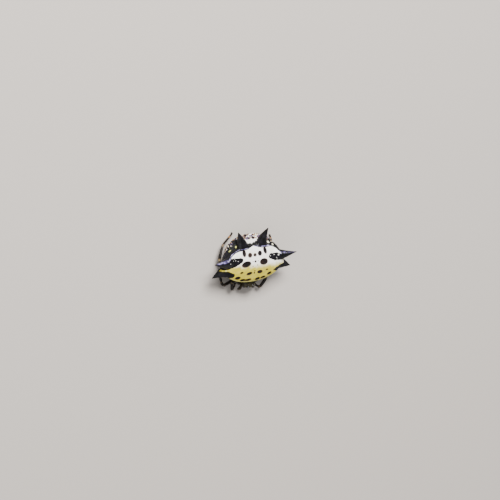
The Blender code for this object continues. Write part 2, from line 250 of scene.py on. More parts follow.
def smooth_where(piece, weights, rounds):
    """Even out the skin where the weights say, as a thumb does on clay."""
    group = piece.vertex_groups.new(name="even_out")
    for step in range(1, WEIGHT_STEPS + 1):
        chosen = np.nonzero(np.rint(weights * WEIGHT_STEPS) == step)[0].tolist()
        group.add(chosen, step / WEIGHT_STEPS, "REPLACE")
    smooth = piece.modifiers.new("Even out", "SMOOTH")
    smooth.factor = 0.5
    smooth.iterations = rounds
    smooth.vertex_group = group.name
    apply_modifiers(piece)
    piece.vertex_groups.clear()


def smooth_all(piece, rounds):
    smooth_where(piece, np.ones(len(piece.data.vertices)), rounds)


def finish_piece(piece, replaced=(), on_plate=False):
    """Bring a piece to life size, in its place, fix it to the body and hide the CAD parts that it replaces.
    """
    select_only(piece)
    piece.scale = (MM, MM, MM)
    if on_plate:
        piece.rotation_euler = (PLATE_TILT, 0.0, 0.0)
        piece.location = plate_middle
    bpy.ops.object.transform_apply(location=True, rotation=True, scale=True)
    bpy.ops.object.shade_smooth()
    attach(piece, "root")
    if replaced:
        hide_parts(*replaced)
    print(piece.name, len(piece.data.vertices), "points")


# %% [markdown]
# ## Helpers for materials
# A material is a net of nodes. Python's own signs can write it: `height * 2 - edge` adds two Math
# nodes. `Wire` wraps a socket so that the signs work on it, and `Paint` adds all other nodes.

# %% Helpers for materials
class Wire:
    """A socket that numbers and other sockets can be added to, taken from and multiplied with."""

    def __init__(self, paint, socket):
        self.paint = paint
        self.socket = socket

    def __add__(self, other):
        return self.paint.math("ADD", self, other)

    def __sub__(self, other):
        return self.paint.math("SUBTRACT", self, other)

    def __rsub__(self, other):
        return self.paint.math("SUBTRACT", other, self)

    def __mul__(self, other):
        return self.paint.math("MULTIPLY", self, other)

    __radd__ = __add__
    __rmul__ = __mul__


class Paint:
    """A new material with a Principled shader, and short ways to add nodes to it."""

    def __init__(self, name, coat=0.0, coat_roughness=0.1, specular=0.5):
        self.material = bpy.data.materials.new(name)
        self.material.use_nodes = True
        self.tree = self.material.node_tree
        self.shader = self.tree.nodes["Principled BSDF"]
        self.shader.inputs["Coat Weight"].default_value = coat
        self.shader.inputs["Coat Roughness"].default_value = coat_roughness
        self.shader.inputs["Specular IOR Level"].default_value = specular
        place = self.node("ShaderNodeTexCoord", output="Object")
        self.place = self.node("ShaderNodeVectorMath", {"operation": "SCALE"}, {0: place, "Scale": 1.0 / MM})

    def node(self, kind, settings=None, inputs=None, output=0):
        """Add a node of any kind; values or wires go into its sockets."""
        made = self.tree.nodes.new(kind)
        for key, value in (settings or {}).items():
            if key == "stops":
                self.set_stops(made.color_ramp, value)
            else:
                setattr(made, key, value)
        for key, value in (inputs or {}).items():
            if isinstance(value, Wire):
                self.tree.links.new(value.socket, made.inputs[key])
            else:
                made.inputs[key].default_value = value
        return Wire(self, made.outputs[output])

    def set_stops(self, ramp, stops):
        while len(ramp.elements) < len(stops):
            ramp.elements.new(1.0)
        for element, (place, colour) in zip(ramp.elements, stops):
            element.position = place
            element.color = (*colour, 1.0)

    def math(self, operation, first, second=0.0):
        return self.node("ShaderNodeMath", {"operation": operation}, {0: first, 1: second})

    def field(self, name):
        """The number that the mesh keeps for each point."""
        return self.node("ShaderNodeAttribute", {"attribute_name": name}, output="Fac")

    def noise(self, grain, detail):
        """Soft noise with lumps of about the given size in mm."""
        inputs = {"Vector": self.place, "Scale": 1.0 / grain, "Detail": detail}
        return self.node("ShaderNodeTexNoise", None, inputs)

    def axis(self, index):
        """The place along x, y or z, in mm."""
        return self.node("ShaderNodeSeparateXYZ", None, {0: self.place}, index)

    def between(self, value, low, high):
        """0 below low, 1 above high and a soft rise between; low may be the larger."""
        ends = {"Value": value, "From Min": low, "From Max": high}
        return self.node("ShaderNodeMapRange", {"interpolation_type": "SMOOTHSTEP"}, ends)

    def mix(self, share, first, second):
        """Lay the second colour over the first by a share."""
        colours = [item if isinstance(item, Wire) else (*item, 1.0) for item in (first, second)]
        inputs = {0: share, 6: colours[0], 7: colours[1]}
        return self.node("ShaderNodeMix", {"data_type": "RGBA"}, inputs, 2)

    def blend(self, share, first, second):
        """Mix two numbers."""
        return self.node("ShaderNodeMix", {"data_type": "FLOAT"}, {0: share, 2: first, 3: second})

    def finish(self, colour, roughness, height=None, depth=0.01, coat=None):
        """Wire up the shader; depth is how high the finest relief stands, in mm."""
        for name, value in (("Base Color", colour), ("Roughness", roughness), ("Coat Weight", coat)):
            if value is None:
                continue
            if isinstance(value, Wire):
                self.tree.links.new(value.socket, self.shader.inputs[name])
            else:
                self.shader.inputs[name].default_value = value
        if height:
            bump = self.node("ShaderNodeBump", None, {"Distance": depth * MM, "Height": height})
            self.tree.links.new(bump.socket, self.shader.inputs["Normal"])
        print("material", self.material.name, "with", len(self.tree.nodes), "nodes")
        return self.material


def dress(piece, material):
    piece.data.materials.clear()
    piece.data.materials.append(material)


# %% [markdown]
# ## The plate and its thorns
# The abdomen is a wide oval plate over a deep, cone-shaped underside. Three profiles give its
# side, its rear and its front, and the points between them are blended. Each thorn is a tapered
# tube whose foot is broad and flat. The seven closed shapes are then melted into one skin.

# %% Numbers of the abdomen
# in mm, in the plate's own frame, with its middle at the origin
PLATE_HALF_WIDTH = 4.55
PLATE_HALF_LENGTH = 2.88
PLATE_CENTRE_Y = -0.36
# reach as a share of the half width or length, and height, from the middle of the top to the
# lowest point of the belly
SIDE_PROFILE = ((0.0, 0.0), (0.35, -0.02), (0.68, -0.08), (0.90, -0.22), (1.02, -0.52), (1.07, -0.92),
                (1.06, -1.42), (0.90, -2.10), (0.62, -2.78), (0.37, -3.36), (0.17, -3.78), (0.0, -3.88))
REAR_PROFILE = ((0.0, 0.0), (0.35, -0.06), (0.68, -0.26), (0.90, -0.50), (1.0, -0.82), (1.02, -1.12),
                (1.22, -1.66), (1.40, -2.40), (1.20, -3.12), (0.76, -3.62), (0.33, -3.84), (0.0, -3.88))
FRONT_PROFILE = ((0.0, 0.0), (0.35, -0.15), (0.68, -0.46), (0.90, -0.78), (1.0, -1.10), (0.90, -1.38),
                 (0.58, -1.62), (0.33, -2.10), (0.27, -2.85), (0.21, -3.45), (0.12, -3.80), (0.0, -3.88))
RIM_PLACE = 3.75
# foot, tip, radius of the foot and sideways bow of each thorn on her left side
SPINES = {
    "anterior": ((3.85, -0.90, -1.02), (6.22, -1.84, -1.38), 1.18, -0.02),
    "median": ((3.60, 0.37, -0.64), (6.48, 0.73, 0.26), 1.10, 0.08),
    "posterior": ((1.38, 1.50, -0.92), (2.37, 4.80, -0.52), 1.22, -0.16),
}
SPINE_ROOT = 0.50
SPINE_TIP_RADIUS = 0.045
SPINE_TAPER = {"anterior": 1.05, "median": 1.15, "posterior": 0.97}
SPINE_SAG = {"anterior": 0.12, "median": 0.08, "posterior": 0.28}
SPINE_FOOT_FLATNESS = 0.50
SPINE_ROUND_FROM = 0.60
print("plate:", 2 * PLATE_HALF_WIDTH, "by", 2 * PLATE_HALF_LENGTH, "mm; thorns:", 2 * len(SPINES))


# %% Shape of the abdomen
def end_profiles(place, around):
    """Blend the side's profile with the rear's or the front's, by the angle round the body."""
    side = smooth_table(SIDE_PROFILE, place)
    rear = smooth_table(REAR_PROFILE, place)
    front = smooth_table(FRONT_PROFILE, place)
    end = np.where(np.sin(around)[:, None] > 0.0, rear, front)
    return side + (end - side) * (np.sin(around) ** 2)[:, None]


def abdomen_place(along, around):
    reach, height = end_profiles(along * (len(SIDE_PROFILE) - 1), around).T
    x = PLATE_HALF_WIDTH * reach * np.cos(around)
    y = PLATE_CENTRE_Y + PLATE_HALF_LENGTH * reach * np.sin(around)
    return np.stack([x, y, height], axis=1)


def unit(vector):
    return vector / math.sqrt((vector ** 2).sum())


def spine_axis(kind, share):
    """Give the middle line and the radius of a thorn on her left side."""
    foot, tip, foot_radius, bow = SPINES[kind]
    run = np.array(tip) - np.array(foot)
    sideways = unit(np.cross(run, (0.0, 0.0, 1.0)))
    inside = np.clip(share, 0.0, 1.0)
    bend = sideways * (bow * np.sin(math.pi * inside))[:, None]
    middle = np.array(foot) + run * share[:, None] + bend
    middle[:, 2] -= SPINE_SAG[kind] * np.sin(math.pi * inside)
    radius = SPINE_TIP_RADIUS + (foot_radius - SPINE_TIP_RADIUS) * (1.0 - inside) ** SPINE_TAPER[kind]
    return middle, radius, run


def spine_place(kind, along, around):
    """Wrap a ball round a thorn's middle line, with a root inside the body."""
    length = math.dist(*SPINES[kind][:2])
    share = along * (1.0 + SPINE_ROOT / length) - SPINE_ROOT / length
    middle, radius, run = spine_axis(kind, share)
    axis = run / length
    across = unit(np.cross(axis, (0.0, 0.0, 1.0)))
    lift = np.cross(across, axis)
    radius = np.where((along > 0.0) & (along < 1.0), radius, 0.0)
    spoke = across * np.cos(around)[:, None] + lift * np.sin(around)[:, None]
    points = middle + spoke * radius[:, None]
    to_round = np.clip(share / SPINE_ROUND_FROM, 0.0, 1.0)
    flatness = SPINE_FOOT_FLATNESS + (1.0 - SPINE_FOOT_FLATNESS) * to_round
    points[:, 2] = middle[:, 2] + (points[:, 2] - middle[:, 2]) * flatness
    return points


# %% Melt the plate and its thorns into one skin
ABDOMEN_SIDES, ABDOMEN_RINGS = 180, 110
THORN_SIDES, THORN_RINGS = 48, 60
ABDOMEN_GRAIN = 0.05
abdomen = add_ball("abdomen_skin", ABDOMEN_SIDES, ABDOMEN_RINGS)
write_points(abdomen, abdomen_place(*ball_angles(abdomen)))
thorns = []
for kind in SPINES:
    for side in (1.0, -1.0):
        thorn = add_ball("thorn", THORN_SIDES, THORN_RINGS)
        points = spine_place(kind, *ball_angles(thorn))
        points[:, 0] *= side
        write_points(thorn, points)
        turn_faces_out(thorn)
        thorns.append(thorn)
join_pieces(abdomen, thorns)
melt_together(abdomen, ABDOMEN_GRAIN)
print("abdomen after melting:", len(abdomen.data.polygons), "faces")

# %% [markdown]
# ### Feet and tips of the thorns
# Melting leaves a sharp crease where a thorn meets the plate and cuts its tip short. On the real
# animal a thorn swells out of the plate and ends in a point. So the skin is smoothed round each
# foot, and the points near each tip are drawn out along the thorn to its full length.


# %% Smooth the thorns' feet
def spine_shares(points, kind):
    """Mirror points to her left side and set them against the thorn there: share, middle, radius."""
    foot, tip = (np.array(end) for end in SPINES[kind][:2])
    mirrored = points.copy()
    mirrored[:, 0] = np.abs(mirrored[:, 0])
    run = tip - foot
    share = ((mirrored - foot) @ run) / (run @ run)
    middle, radius, run = spine_axis(kind, share)
    return mirrored, share, middle, radius


SMOOTH_OUTER, SMOOTH_INNER = 1.9, 1.1
SMOOTH_ROUNDS = 60
points = read_points(abdomen)
weights = np.zeros(len(points))
for kind in SPINES:
    mirrored, share, middle, radius = spine_shares(points, kind)
    near_foot = soft_step(lengths(mirrored - np.array(SPINES[kind][0])), SMOOTH_OUTER, SMOOTH_INNER)
    weights = np.maximum(weights, near_foot * soft_step(share, 0.55, 0.30))
smooth_where(abdomen, weights, SMOOTH_ROUNDS)
print("points smoothed:", int((weights > 0.0).sum()))

# %% Draw out the thorns' tips
TIP_FROM = 0.6
TIP_CLEARANCE = 0.12
points = read_points(abdomen)
for kind in SPINES:
    mirrored, share, middle, radius = spine_shares(points, kind)
    away = lengths(mirrored - middle)
    on_tip = (share > TIP_FROM) & (away < radius + TIP_CLEARANCE)
    reach = share[on_tip].max()
    longer = np.where(on_tip, TIP_FROM + (share - TIP_FROM) * (1.0 - TIP_FROM) / (reach - TIP_FROM), share)
    new_middle, new_radius, run = spine_axis(kind, longer)
    pull = soft_step(share, TIP_FROM, TIP_FROM + 0.2)[:, None]
    target = new_middle + (mirrored - middle) * (new_radius / np.maximum(away, 0.005))[:, None]
    moved = mirrored + (target - mirrored) * pull
    moved[:, 0] *= np.sign(points[:, 0])
    points = np.where(on_tip[:, None], moved, points)
write_points(abdomen, points)
print("widest now:", round(float(np.abs(points[:, 0]).max()), 2), "mm from the middle")

# %% [markdown]
# ## Sunken spots, ridge and folds
# The plate's dark spots are sigilla, the dents over the muscles inside. Behind the plate runs a
# dark ridge, and the walls below it are pleated. Each is a formula on the distance to a spot,
# a line or the rim, so the same number sinks the skin here and colours it later, and both always
# lie together. The distance is kept on the mesh, and the material decides how sharp its edge is.

# %% Where the marks are
# middle x and y, half length, half width and turn in degrees, in the plate's own frame
SIGILLA = (
    (-1.36, -0.07, 0.69, 0.43, 9.0), (1.40, -0.05, 0.60, 0.47, -7.0),
    (-0.72, 1.20, 0.30, 0.32, 0.0), (0.06, 1.15, 0.22, 0.21, 0.0), (0.85, 1.26, 0.30, 0.33, 0.0),
    (-1.59, 1.56, 0.25, 0.46, 4.0), (1.71, 1.56, 0.24, 0.46, 12.0),
    (-0.84, -1.61, 0.40, 0.22, 8.0), (0.83, -1.57, 0.38, 0.26, -4.0),
    (-2.07, -1.28, 0.20, 0.13, 10.0), (1.94, -1.39, 0.15, 0.09, -6.0),
    (-2.59, -2.09, 0.38, 0.23, -6.0), (-1.74, -2.62, 0.36, 0.20, -4.0), (-0.79, -2.70, 0.36, 0.20, 8.0),
    (0.64, -2.77, 0.34, 0.24, 8.0), (1.49, -2.64, 0.34, 0.19, 14.0), (2.41, -2.12, 0.32, 0.20, 24.0),
    (3.22, -1.63, 0.17, 0.11, 30.0),
    (0.07, 0.18, 0.13, 0.13, 0.0), (-0.04, -1.63, 0.08, 0.10, 0.0), (0.0, -1.30, 0.06, 0.07, 0.0),
    # a bridge that joins two of the front spots
    (-1.26, -2.68, 0.34, 0.12, 2.0),
)
# small brown dots: place and radius
FAINT_DOTS = ((-0.30, 0.20, 0.08), (0.50, 0.20, 0.09), (-0.32, -0.51, 0.09), (0.39, -0.41, 0.09))
# dark blotches: two ends and the half width at each
BLOTCHES = (
    ((-2.26, 0.62), (-3.20, 0.43), 0.42, 0.65), ((-3.20, 0.43), (-4.60, 0.30), 0.65, 0.92),
    ((2.64, 0.57), (3.40, 0.36), 0.40, 0.59), ((3.40, 0.34), (4.60, 0.12), 0.57, 0.46),
    ((-3.50, -1.58), (-4.30, -1.36), 0.38, 0.58), ((-4.30, -1.36), (-5.10, -1.26), 0.58, 0.44),
    ((3.58, -1.62), (4.30, -1.46), 0.35, 0.45), ((4.30, -1.46), (5.05, -1.36), 0.45, 0.34),
)
# white dots on the dark blotches: place and radius
PLATE_DOTS = ((2.49, 0.63, 0.055), (3.10, 0.67, 0.06), (3.74, 0.60, 0.09), (3.47, 0.20, 0.05),
              (3.52, -0.07, 0.05), (-3.00, 0.71, 0.045), (-2.62, 0.57, 0.055), (-3.35, 0.74, 0.04),
              (-3.17, 0.92, 0.035), (-3.86, 0.40, 0.055))
# yellow dots on the upper wall: place in three directions and radius
YELLOW_DOTS = ((-2.40, 2.38, -1.27, 0.16), (-3.52, 1.87, -1.25, 0.10), (-3.34, 1.97, -1.25, 0.09),
               (-4.42, 0.90, -1.42, 0.09), (2.70, 2.34, -1.34, 0.20), (3.35, 1.90, -1.18, 0.16))
# dark dots on the wall, pale dots on the belly and the covers of the lungs: row of the profiles,
# degrees round the body and radius
WALL_DOTS = ((6.12, 85.3, 0.26), (6.13, 91.6, 0.19), (6.83, 94.5, 0.23), (6.66, 94.8, 0.18),
             (6.43, 96.3, 0.14), (6.98, 90.0, 0.14), (7.10, 87.0, 0.15), (7.03, 80.8, 0.15),
             (6.63, 84.8, 0.13), (6.50, 100.0, 0.12), (7.45, 97.0, 0.15), (7.60, 84.0, 0.16),
             (7.90, 90.5, 0.15), (7.90, 96.0, 0.15), (7.40, 77.0, 0.15), (7.45, 103.0, 0.14))
BELLY_DOTS = ((7.9, 50.0, 0.15), (8.3, 85.0, 0.14), (8.0, 20.0, 0.14), (9.0, 60.0, 0.11), (7.4, -8.0, 0.13),
              (8.2, -25.0, 0.12), (9.0, 10.0, 0.10), (7.2, -40.0, 0.12), (7.0, 5.0, 0.10),
              (7.9, 131.0, 0.14), (8.3, 97.0, 0.13), (8.05, 161.0, 0.13), (9.0, 121.0, 0.11),
              (7.4, 187.0, 0.12), (8.2, 206.0, 0.12), (9.0, 171.0, 0.10), (7.2, 221.0, 0.12))
LUNG_COVERS = ((8.05, -58.0, 0.34), (8.05, -122.0, 0.34))
print("sigilla:", len(SIGILLA), "faint dots:", len(FAINT_DOTS), "belly dots:", len(BELLY_DOTS))


# %% Distances to the marks
def oval_distance(points, x, y, half_length, half_width, turn):
    """Distance in mm to an oval's edge seen from above, negative inside it."""
    across, up = math.cos(math.radians(turn)), math.sin(math.radians(turn))
    dx, dy = points[:, 0] - x, points[:, 1] - y
    u = (dx * across + dy * up) / half_length
    v = (dy * across - dx * up) / half_width
    return (np.sqrt(u * u + v * v) - 1.0) * min(half_length, half_width)


def blotch_distance(points, start, end, start_half, end_half):
    """Distance to a tapered bar with round ends, seen from above."""
    flat = points[:, :2]
    run = np.array(end) - np.array(start)
    share = np.clip(((flat - start) @ run) / (run @ run), 0.0, 1.0)
    return lengths(flat - start - run * share[:, None]) - (start_half + (end_half - start_half) * share)


def dot_distance(points, dots):
    """Distance to the nearest of some round dots."""
    size = len(dots[0]) - 1
    each = [lengths(points[:, :size] - np.array(dot[:size])) - dot[size] for dot in dots]
    return np.min(each, axis=0)


def skin_dots(marks):
    """Turn marks given by row and turn into round dots on the skin."""
    rows, turns, radii = np.array(marks).T
    places = abdomen_place(rows / (len(SIDE_PROFILE) - 1), np.radians(turns))
    return tuple((*place, radius) for place, radius in zip(places.tolist(), radii.tolist()))


def rim_place(points):
    """Give the angle round the body, how far outside the rim a point is and how far above it."""
    x, y = points[:, 0] / PLATE_HALF_WIDTH, (points[:, 1] - PLATE_CENTRE_Y) / PLATE_HALF_LENGTH
    around = np.arctan2(y, x)
    reach, height = end_profiles(np.full(len(points), RIM_PLACE), around).T
    size = np.hypot(PLATE_HALF_WIDTH * np.cos(around), PLATE_HALF_LENGTH * np.sin(around))
    return around, (np.hypot(x, y) - reach) * size, points[:, 2] - height

# %% [markdown]
# ### Where each point of the skin lies
# Every mark is set against a few facts of a point: how far outside the plate's rim it is and how
# high above it, at which angle round the body, and how near to a thorn. Noise is added to a
# distance where a mark's edge is uneven on the animal.

# %% Rim, thorns and the painted lilac highlight on the crest
# the way in which the painted highlight on the middle thorns looks, up and to the rear
HIGHLIGHT_DIRECTION = np.array((0.0, 0.72, 0.69))
FAR_AWAY = 9.0
points = read_points(abdomen)
x, y, z = points.T
uneven = rough(points, 0.35, 7.0)
finer = rough(points, 0.12, 3.0)
around, outside, above = rim_place(points)
degrees = np.degrees(around)
# degrees away from the middle of the rear, to either side
from_rear = np.abs(degrees - 90.0)
upright = read_normals(abdomen)[:, 2]
hers_left = x > 0.0
# a lilac highlight is painted along the crest just inside the rim, and further inside at the rear; it is
# thin on her right
inward = 0.03 + 0.16 * soft_step(from_rear, 32.0, 14.0)
half_highlight = 0.07 - 0.025 * soft_step(np.abs(degrees - 128.0), 24.0, 14.0)
crest = np.max([np.abs(outside + inward) - half_highlight, (from_rear - 68.0) * 0.02, -0.5 - above], axis=0)
# the share of a thorn's length where its black part starts
black_from = {"anterior": np.where(hers_left, 0.34, 0.50), "median": 0.30, "posterior": 0.0}
on_spine = np.full(len(points), FAR_AWAY)
for kind, start in black_from.items():
    mirrored, share, middle, radius = spine_shares(points, kind)
    spoke = mirrored - middle
    away = lengths(spoke)
    length = math.dist(*SPINES[kind][:2])
    before_black = (start - share) * length
    black_part = np.maximum(away - radius * 1.3, before_black)
    # the rear thorns are black outside the rim only
    if kind == "posterior":
        black_part = np.maximum(black_part, -0.08 - outside)
    # the middle thorns get a painted lilac highlight where they look up and to the rear
    if kind == "median":
        lit = np.where(hers_left, 0.955, 0.92) - (spoke @ HIGHLIGHT_DIRECTION) / np.maximum(away, 0.01)
        on_thorn = np.max([lit * radius, (share - 0.9) * length, (0.25 - share) * length], axis=0)
        crest = np.minimum(crest, on_thorn)
    # the front thorns are yellow on top, up to their black part
    if kind == "anterior":
        yellow_top = np.min([before_black, (upright - 0.30) * 0.6, radius * 1.4 - away], axis=0)
    on_spine = np.minimum(on_spine, black_part)
crest = crest + 0.05 * uneven
print("share of the skin on black thorns:", round(float((on_spine < 0.0).mean()), 2))

# %% [markdown]
# ### Dark parts
# The sigilla and the blotches lie on the plate. All that is outside the rim is black too, down to
# the belly, and so are the thorns. The smallest distance of several marks is the distance to all
# of them together, and the largest is that to where they overlap.

# %% Spots, blotches and walls
BELLY_FROM = -1.5
spots = np.min([oval_distance(points, *oval) for oval in SIGILLA], axis=0)
# a spot ends where the top of the plate does, and at a black thorn
below_top = np.maximum(-0.9 - z - 0.15 * soft_step(y, 0.0, -1.5), on_spine * -0.2)
spots = np.maximum(spots, below_top * 2.0)
blotch = np.min([blotch_distance(points, *bar) for bar in BLOTCHES], axis=0)
blotch = np.maximum(blotch, (-1.9 - z) * 0.6) + uneven * 0.06
# the wall is black from this far inside the rim, which is most at the rear and on her right
ridge_from = 0.35 * soft_step(from_rear, 42.0, 22.0) - 0.05 * soft_step(from_rear, 70.0, 95.0)
ridge_from += 0.16 * soft_step(np.abs(degrees - 138.0), 24.0, 8.0)
wall = -(outside + ridge_from)
wall = np.where(outside > -1.2, np.minimum(wall, above + 0.30), wall)
wall = np.where(z < BELLY_FROM, -0.5, np.maximum(wall, yellow_top))
dark = np.min([blotch, wall + uneven * 0.02, on_spine + uneven * 0.04], axis=0)
print("dark part of the skin:", round(float((dark < 0.0).mean()), 2))

# %% [markdown]
# ### Pale parts
# A white patch lies on the rear wall, between the two rear thorns. Beside it the wall is pleated, and every
# pleat is pale on its raised back, partly the wall's own cream and partly a painted highlight, so a wave
# that runs round the body gives both the pleats and their colour.

# %% Rear patch, pleats and dots
PATCH_MIDDLE, PATCH_HALF_WIDTH, PATCH_HALF_HEIGHT = -2.05, 1.55, 0.83
PLEATS = 70
# an oval patch with a broken edge
patch = np.sqrt((x / PATCH_HALF_WIDTH) ** 2 + ((z - PATCH_MIDDLE) / PATCH_HALF_HEIGHT) ** 2) - 1.0
broken = rough(points, 0.22, 21.0)
patch = np.where(y > 1.2, patch, 1.0) + 0.25 * uneven + 0.12 * broken
# the pleats wander a little, and their band lies lower at the rear than at the sides
ribs = np.cos(around * PLEATS + 9.0 * rough(points, 0.8, 11.0))
rib_height = -2.20 - 0.45 * soft_step(from_rear, 32.0, 20.0)
rib_zone = np.maximum(np.abs(z - rib_height) / 0.60, np.abs(from_rear - 44.0) / 30.0) - 1.0
rib_zone = np.where(y > 0.0, rib_zone, 1.0)
# pale streaks on each pleat's raised back: partly the wall's cream marks, partly a painted highlight
pale_streaks_and_highlights = 0.12 - ribs * 0.55 + 1.0 * broken + 0.5 * soft_step(from_rear, 52.0, 72.0)
# no pleat is pale above this line
rib_top = z + 1.55 + 0.40 * soft_step(from_rear, 32.0, 22.0)
pleat_marks_and_highlights = np.max([rib_zone + 0.9 * uneven, rib_top, pale_streaks_and_highlights], axis=0)
pale_dots = dot_distance(points, YELLOW_DOTS + skin_dots(BELLY_DOTS)) + 0.04 * uneven
pale = np.min([patch, pleat_marks_and_highlights, pale_dots], axis=0)
lungs = dot_distance(points, skin_dots(LUNG_COVERS)) + 0.03 * uneven
wall_spots = dot_distance(points, skin_dots(WALL_DOTS)) + 0.03 * uneven
plate_dots = np.maximum(dot_distance(points, PLATE_DOTS), -0.8 - z) + 0.015 * finer
faint = np.maximum(dot_distance(points, FAINT_DOTS), -0.8 - z)
print("pale part of the skin:", round(float((pale < 0.0).mean()), 2))

# %% [markdown]
# ### Carve the marks
# The skin is moved along its own normal, a few hundredths of a millimetre: the sigilla sink in,
# with a faint wall round each, the ridge stands up behind the plate with a groove below it, and
# the walls have pleats and folds. The tips of the thorns are left alone.

# %% Carve the marks into the skin
# depths and heights in mm
SPOT_DEPTH, SPOT_WALL = 0.075, 0.014
RIDGE_HEIGHT, GROOVE_DEPTH = 0.10, 0.045
PLEAT_HEIGHT, FOLD_HEIGHT = 0.018, 0.040
WALL_DOT_DEPTH, COVER_HEIGHT, COVER_GROOVE = 0.05, 0.05, 0.03
# 1 on the top of the plate, away from the black thorns
on_top = soft_step(outside, -0.1, -0.4) * soft_step(on_spine, 0.1, 0.4) * (z > -1.2)
dents = -SPOT_DEPTH * soft_step(spots, 0.03, -0.16) + SPOT_WALL * soft_step(np.abs(spots - 0.05), 0.07, 0.0)
ridge_line = np.hypot(outside + 0.03, above * 0.9) - 0.02
ridge = RIDGE_HEIGHT * soft_step(ridge_line, 0.17, 0.0) * soft_step(from_rear, 70.0, 45.0)
groove = -GROOVE_DEPTH * soft_step(np.abs(ridge_line - 0.27), 0.14, 0.0) * (above < 0.0) * (from_rear < 75.0)
# 1 on the walls and the belly
low = soft_step(above, -0.30, -0.75)
pleats = PLEAT_HEIGHT * ribs * low * soft_step(z, -3.0, -2.2) * soft_step(on_spine, 0.0, 0.4)
pleats *= 0.35 + 0.65 * soft_step(y, -0.8, 0.6)
fold_steps = np.sin(z * 8.0 + 5.0 * rough(points, 1.1, 5.0))
folds = FOLD_HEIGHT * fold_steps * np.abs(fold_steps) * low
folds *= soft_step(lungs, 0.0, 0.15)
wall_dents = -WALL_DOT_DEPTH * soft_step(wall_spots, 0.02, -0.08) * low
covers = COVER_HEIGHT * soft_step(lungs, 0.04, -0.06)
covers -= COVER_GROOVE * soft_step(np.abs(lungs - 0.06), 0.05, 0.0)
lumps = 0.014 * rough(points, 0.7, 2.0) * on_top + 0.006 * finer
lifted = dents * on_top + ridge + groove + pleats + folds + wall_dents + covers + lumps
lifted += 0.012 * rough(points, 0.22, 9.0) * soft_step(on_spine, 0.05, -0.1)
# 0 at the tips, so that they keep their place
tip_guard = soft_step(np.abs(x), 6.2, 5.6) * soft_step(y, 4.5, 3.9)
write_points(abdomen, points + read_normals(abdomen) * (lifted * tip_guard)[:, None])
for name, values in (("spots", spots), ("dark", dark), ("pale", pale), ("wall_spots", wall_spots),
                     ("plate_dots", plate_dots), ("faint", faint), ("crest", crest), ("lungs", lungs),
                     ("lip", np.abs(outside + 0.06))):
    add_field(abdomen, name, values)
finish_piece(abdomen, ("abdomen",), on_plate=True)

# %% [markdown]
# ## Shell of the abdomen
# The plate is chalky white behind and turns a darker greenish yellow in front, partly its own colour and
# partly painted shade. The spots are dark brown with a thin red-brown rim, and the thorns are black, with a
# painted bluish-lilac highlight along the crest of the rim and on the middle thorns. Mixing starts with the
# plate's colour, and each mark is laid over it by its distance, so its edge stays crisp.

# %% Colours of the abdomen
WHITE = (0.95, 0.93, 0.88), (0.88, 0.84, 0.74)
# the darker greenish yellow of the front: partly the plate's own colour, partly painted shade
SHADED_YELLOW = (0.47, 0.385, 0.020), (0.58, 0.48, 0.055)
LIP_YELLOW = (0.80, 0.74, 0.26)
FLECKS = (0.62, 0.58, 0.40), (0.42, 0.36, 0.08)
FAINT_BROWN = (0.12, 0.08, 0.05)
BLACK = (0.003, 0.003, 0.003), (0.008, 0.007, 0.010)
# painted highlight on the crest and the middle thorns: violet at its edge, lilac-white in its middle
LILAC_HIGHLIGHT = (0.17, 0.13, 0.36), (0.62, 0.60, 0.76)
WALL_YELLOW, WALL_CREAM = (0.50, 0.50, 0.14), (0.78, 0.74, 0.56)
PLEAT_CREAM = (0.76, 0.70, 0.60)
REAR_WHITE = (0.88, 0.84, 0.76)
BROWN_TO_VIOLET = (0.20, 0.105, 0.035), (0.085, 0.060, 0.115)
CREAM = (0.80, 0.70, 0.36)
DOT_WHITE = (0.80, 0.78, 0.72)
RIM_BROWN = (0.10, 0.040, 0.030)
SPOT_BROWN = (0.004, 0.003, 0.003), (0.024, 0.012, 0.008)
LUNG_BROWN = (0.050, 0.026, 0.014), (0.095, 0.055, 0.030)
WALL_DOT_BROWN = (0.012, 0.006, 0.008)
shell = Paint("abdomen_shell", coat_roughness=0.16, specular=0.14)
mottle = shell.noise(0.9, 3.0)
speckle = shell.noise(0.11, 2.0)
grain = shell.noise(0.035, 1.0)
ragged_edge = (speckle - 0.5) * 0.10


def inside_mark(name, outer, inner, ragged=0.0):
    """Give a mark's share: 0 at the outer distance from its edge, 1 at the inner one."""
    distance = shell.field(name)
    return shell.between(distance + ragged_edge * ragged if ragged else distance, outer, inner)


print("numbers kept on the skin:", ", ".join(field.name for field in abdomen.data.attributes))

# %% White and yellow of the plate
across, turned_y = shell.axis(0), shell.axis(1)
turned_z = shell.axis(2) - PLATE_HEIGHT
# how far to the rear a point lies in the plate's own frame, in mm
plate_y = turned_y * math.cos(PLATE_TILT) + turned_z * math.sin(PLATE_TILT)
# towards the front the plate turns the darker yellow, which is partly its own colour and partly painted
# shade
front = shell.between(plate_y + across * 0.09 + (mottle - 0.5) * 1.3, 0.10, -1.00)
white = shell.mix(shell.between(mottle, 0.35, 0.7), *WHITE)
# the front edge is a lighter yellow, and small flecks lie over both colours
lip = inside_mark("lip", 0.16, 0.02)
shaded_yellow = shell.mix(lip * 0.7, shell.mix(shell.between(mottle, 0.3, 0.7), *SHADED_YELLOW), LIP_YELLOW)
at_edge = lip * shell.between(plate_y, -0.1, -0.6) * 0.7
plate = shell.mix(shell.math("MAXIMUM", front, at_edge), white, shaded_yellow)
plate = shell.mix(shell.between(speckle, 0.52, 0.75) * 0.35, plate, shell.mix(front, *FLECKS))
plate = shell.mix(inside_mark("faint", 0.03, -0.04) * 0.9, plate, FAINT_BROWN)
print("nodes for the plate:", len(shell.tree.nodes))

# %% Black thorns and walls with the painted lilac highlight on the crest
dark_share = inside_mark("dark", 0.025, -0.025, 1.0)
colour = shell.mix(dark_share, plate, shell.mix(shell.between(mottle, 0.4, 0.7), *BLACK))
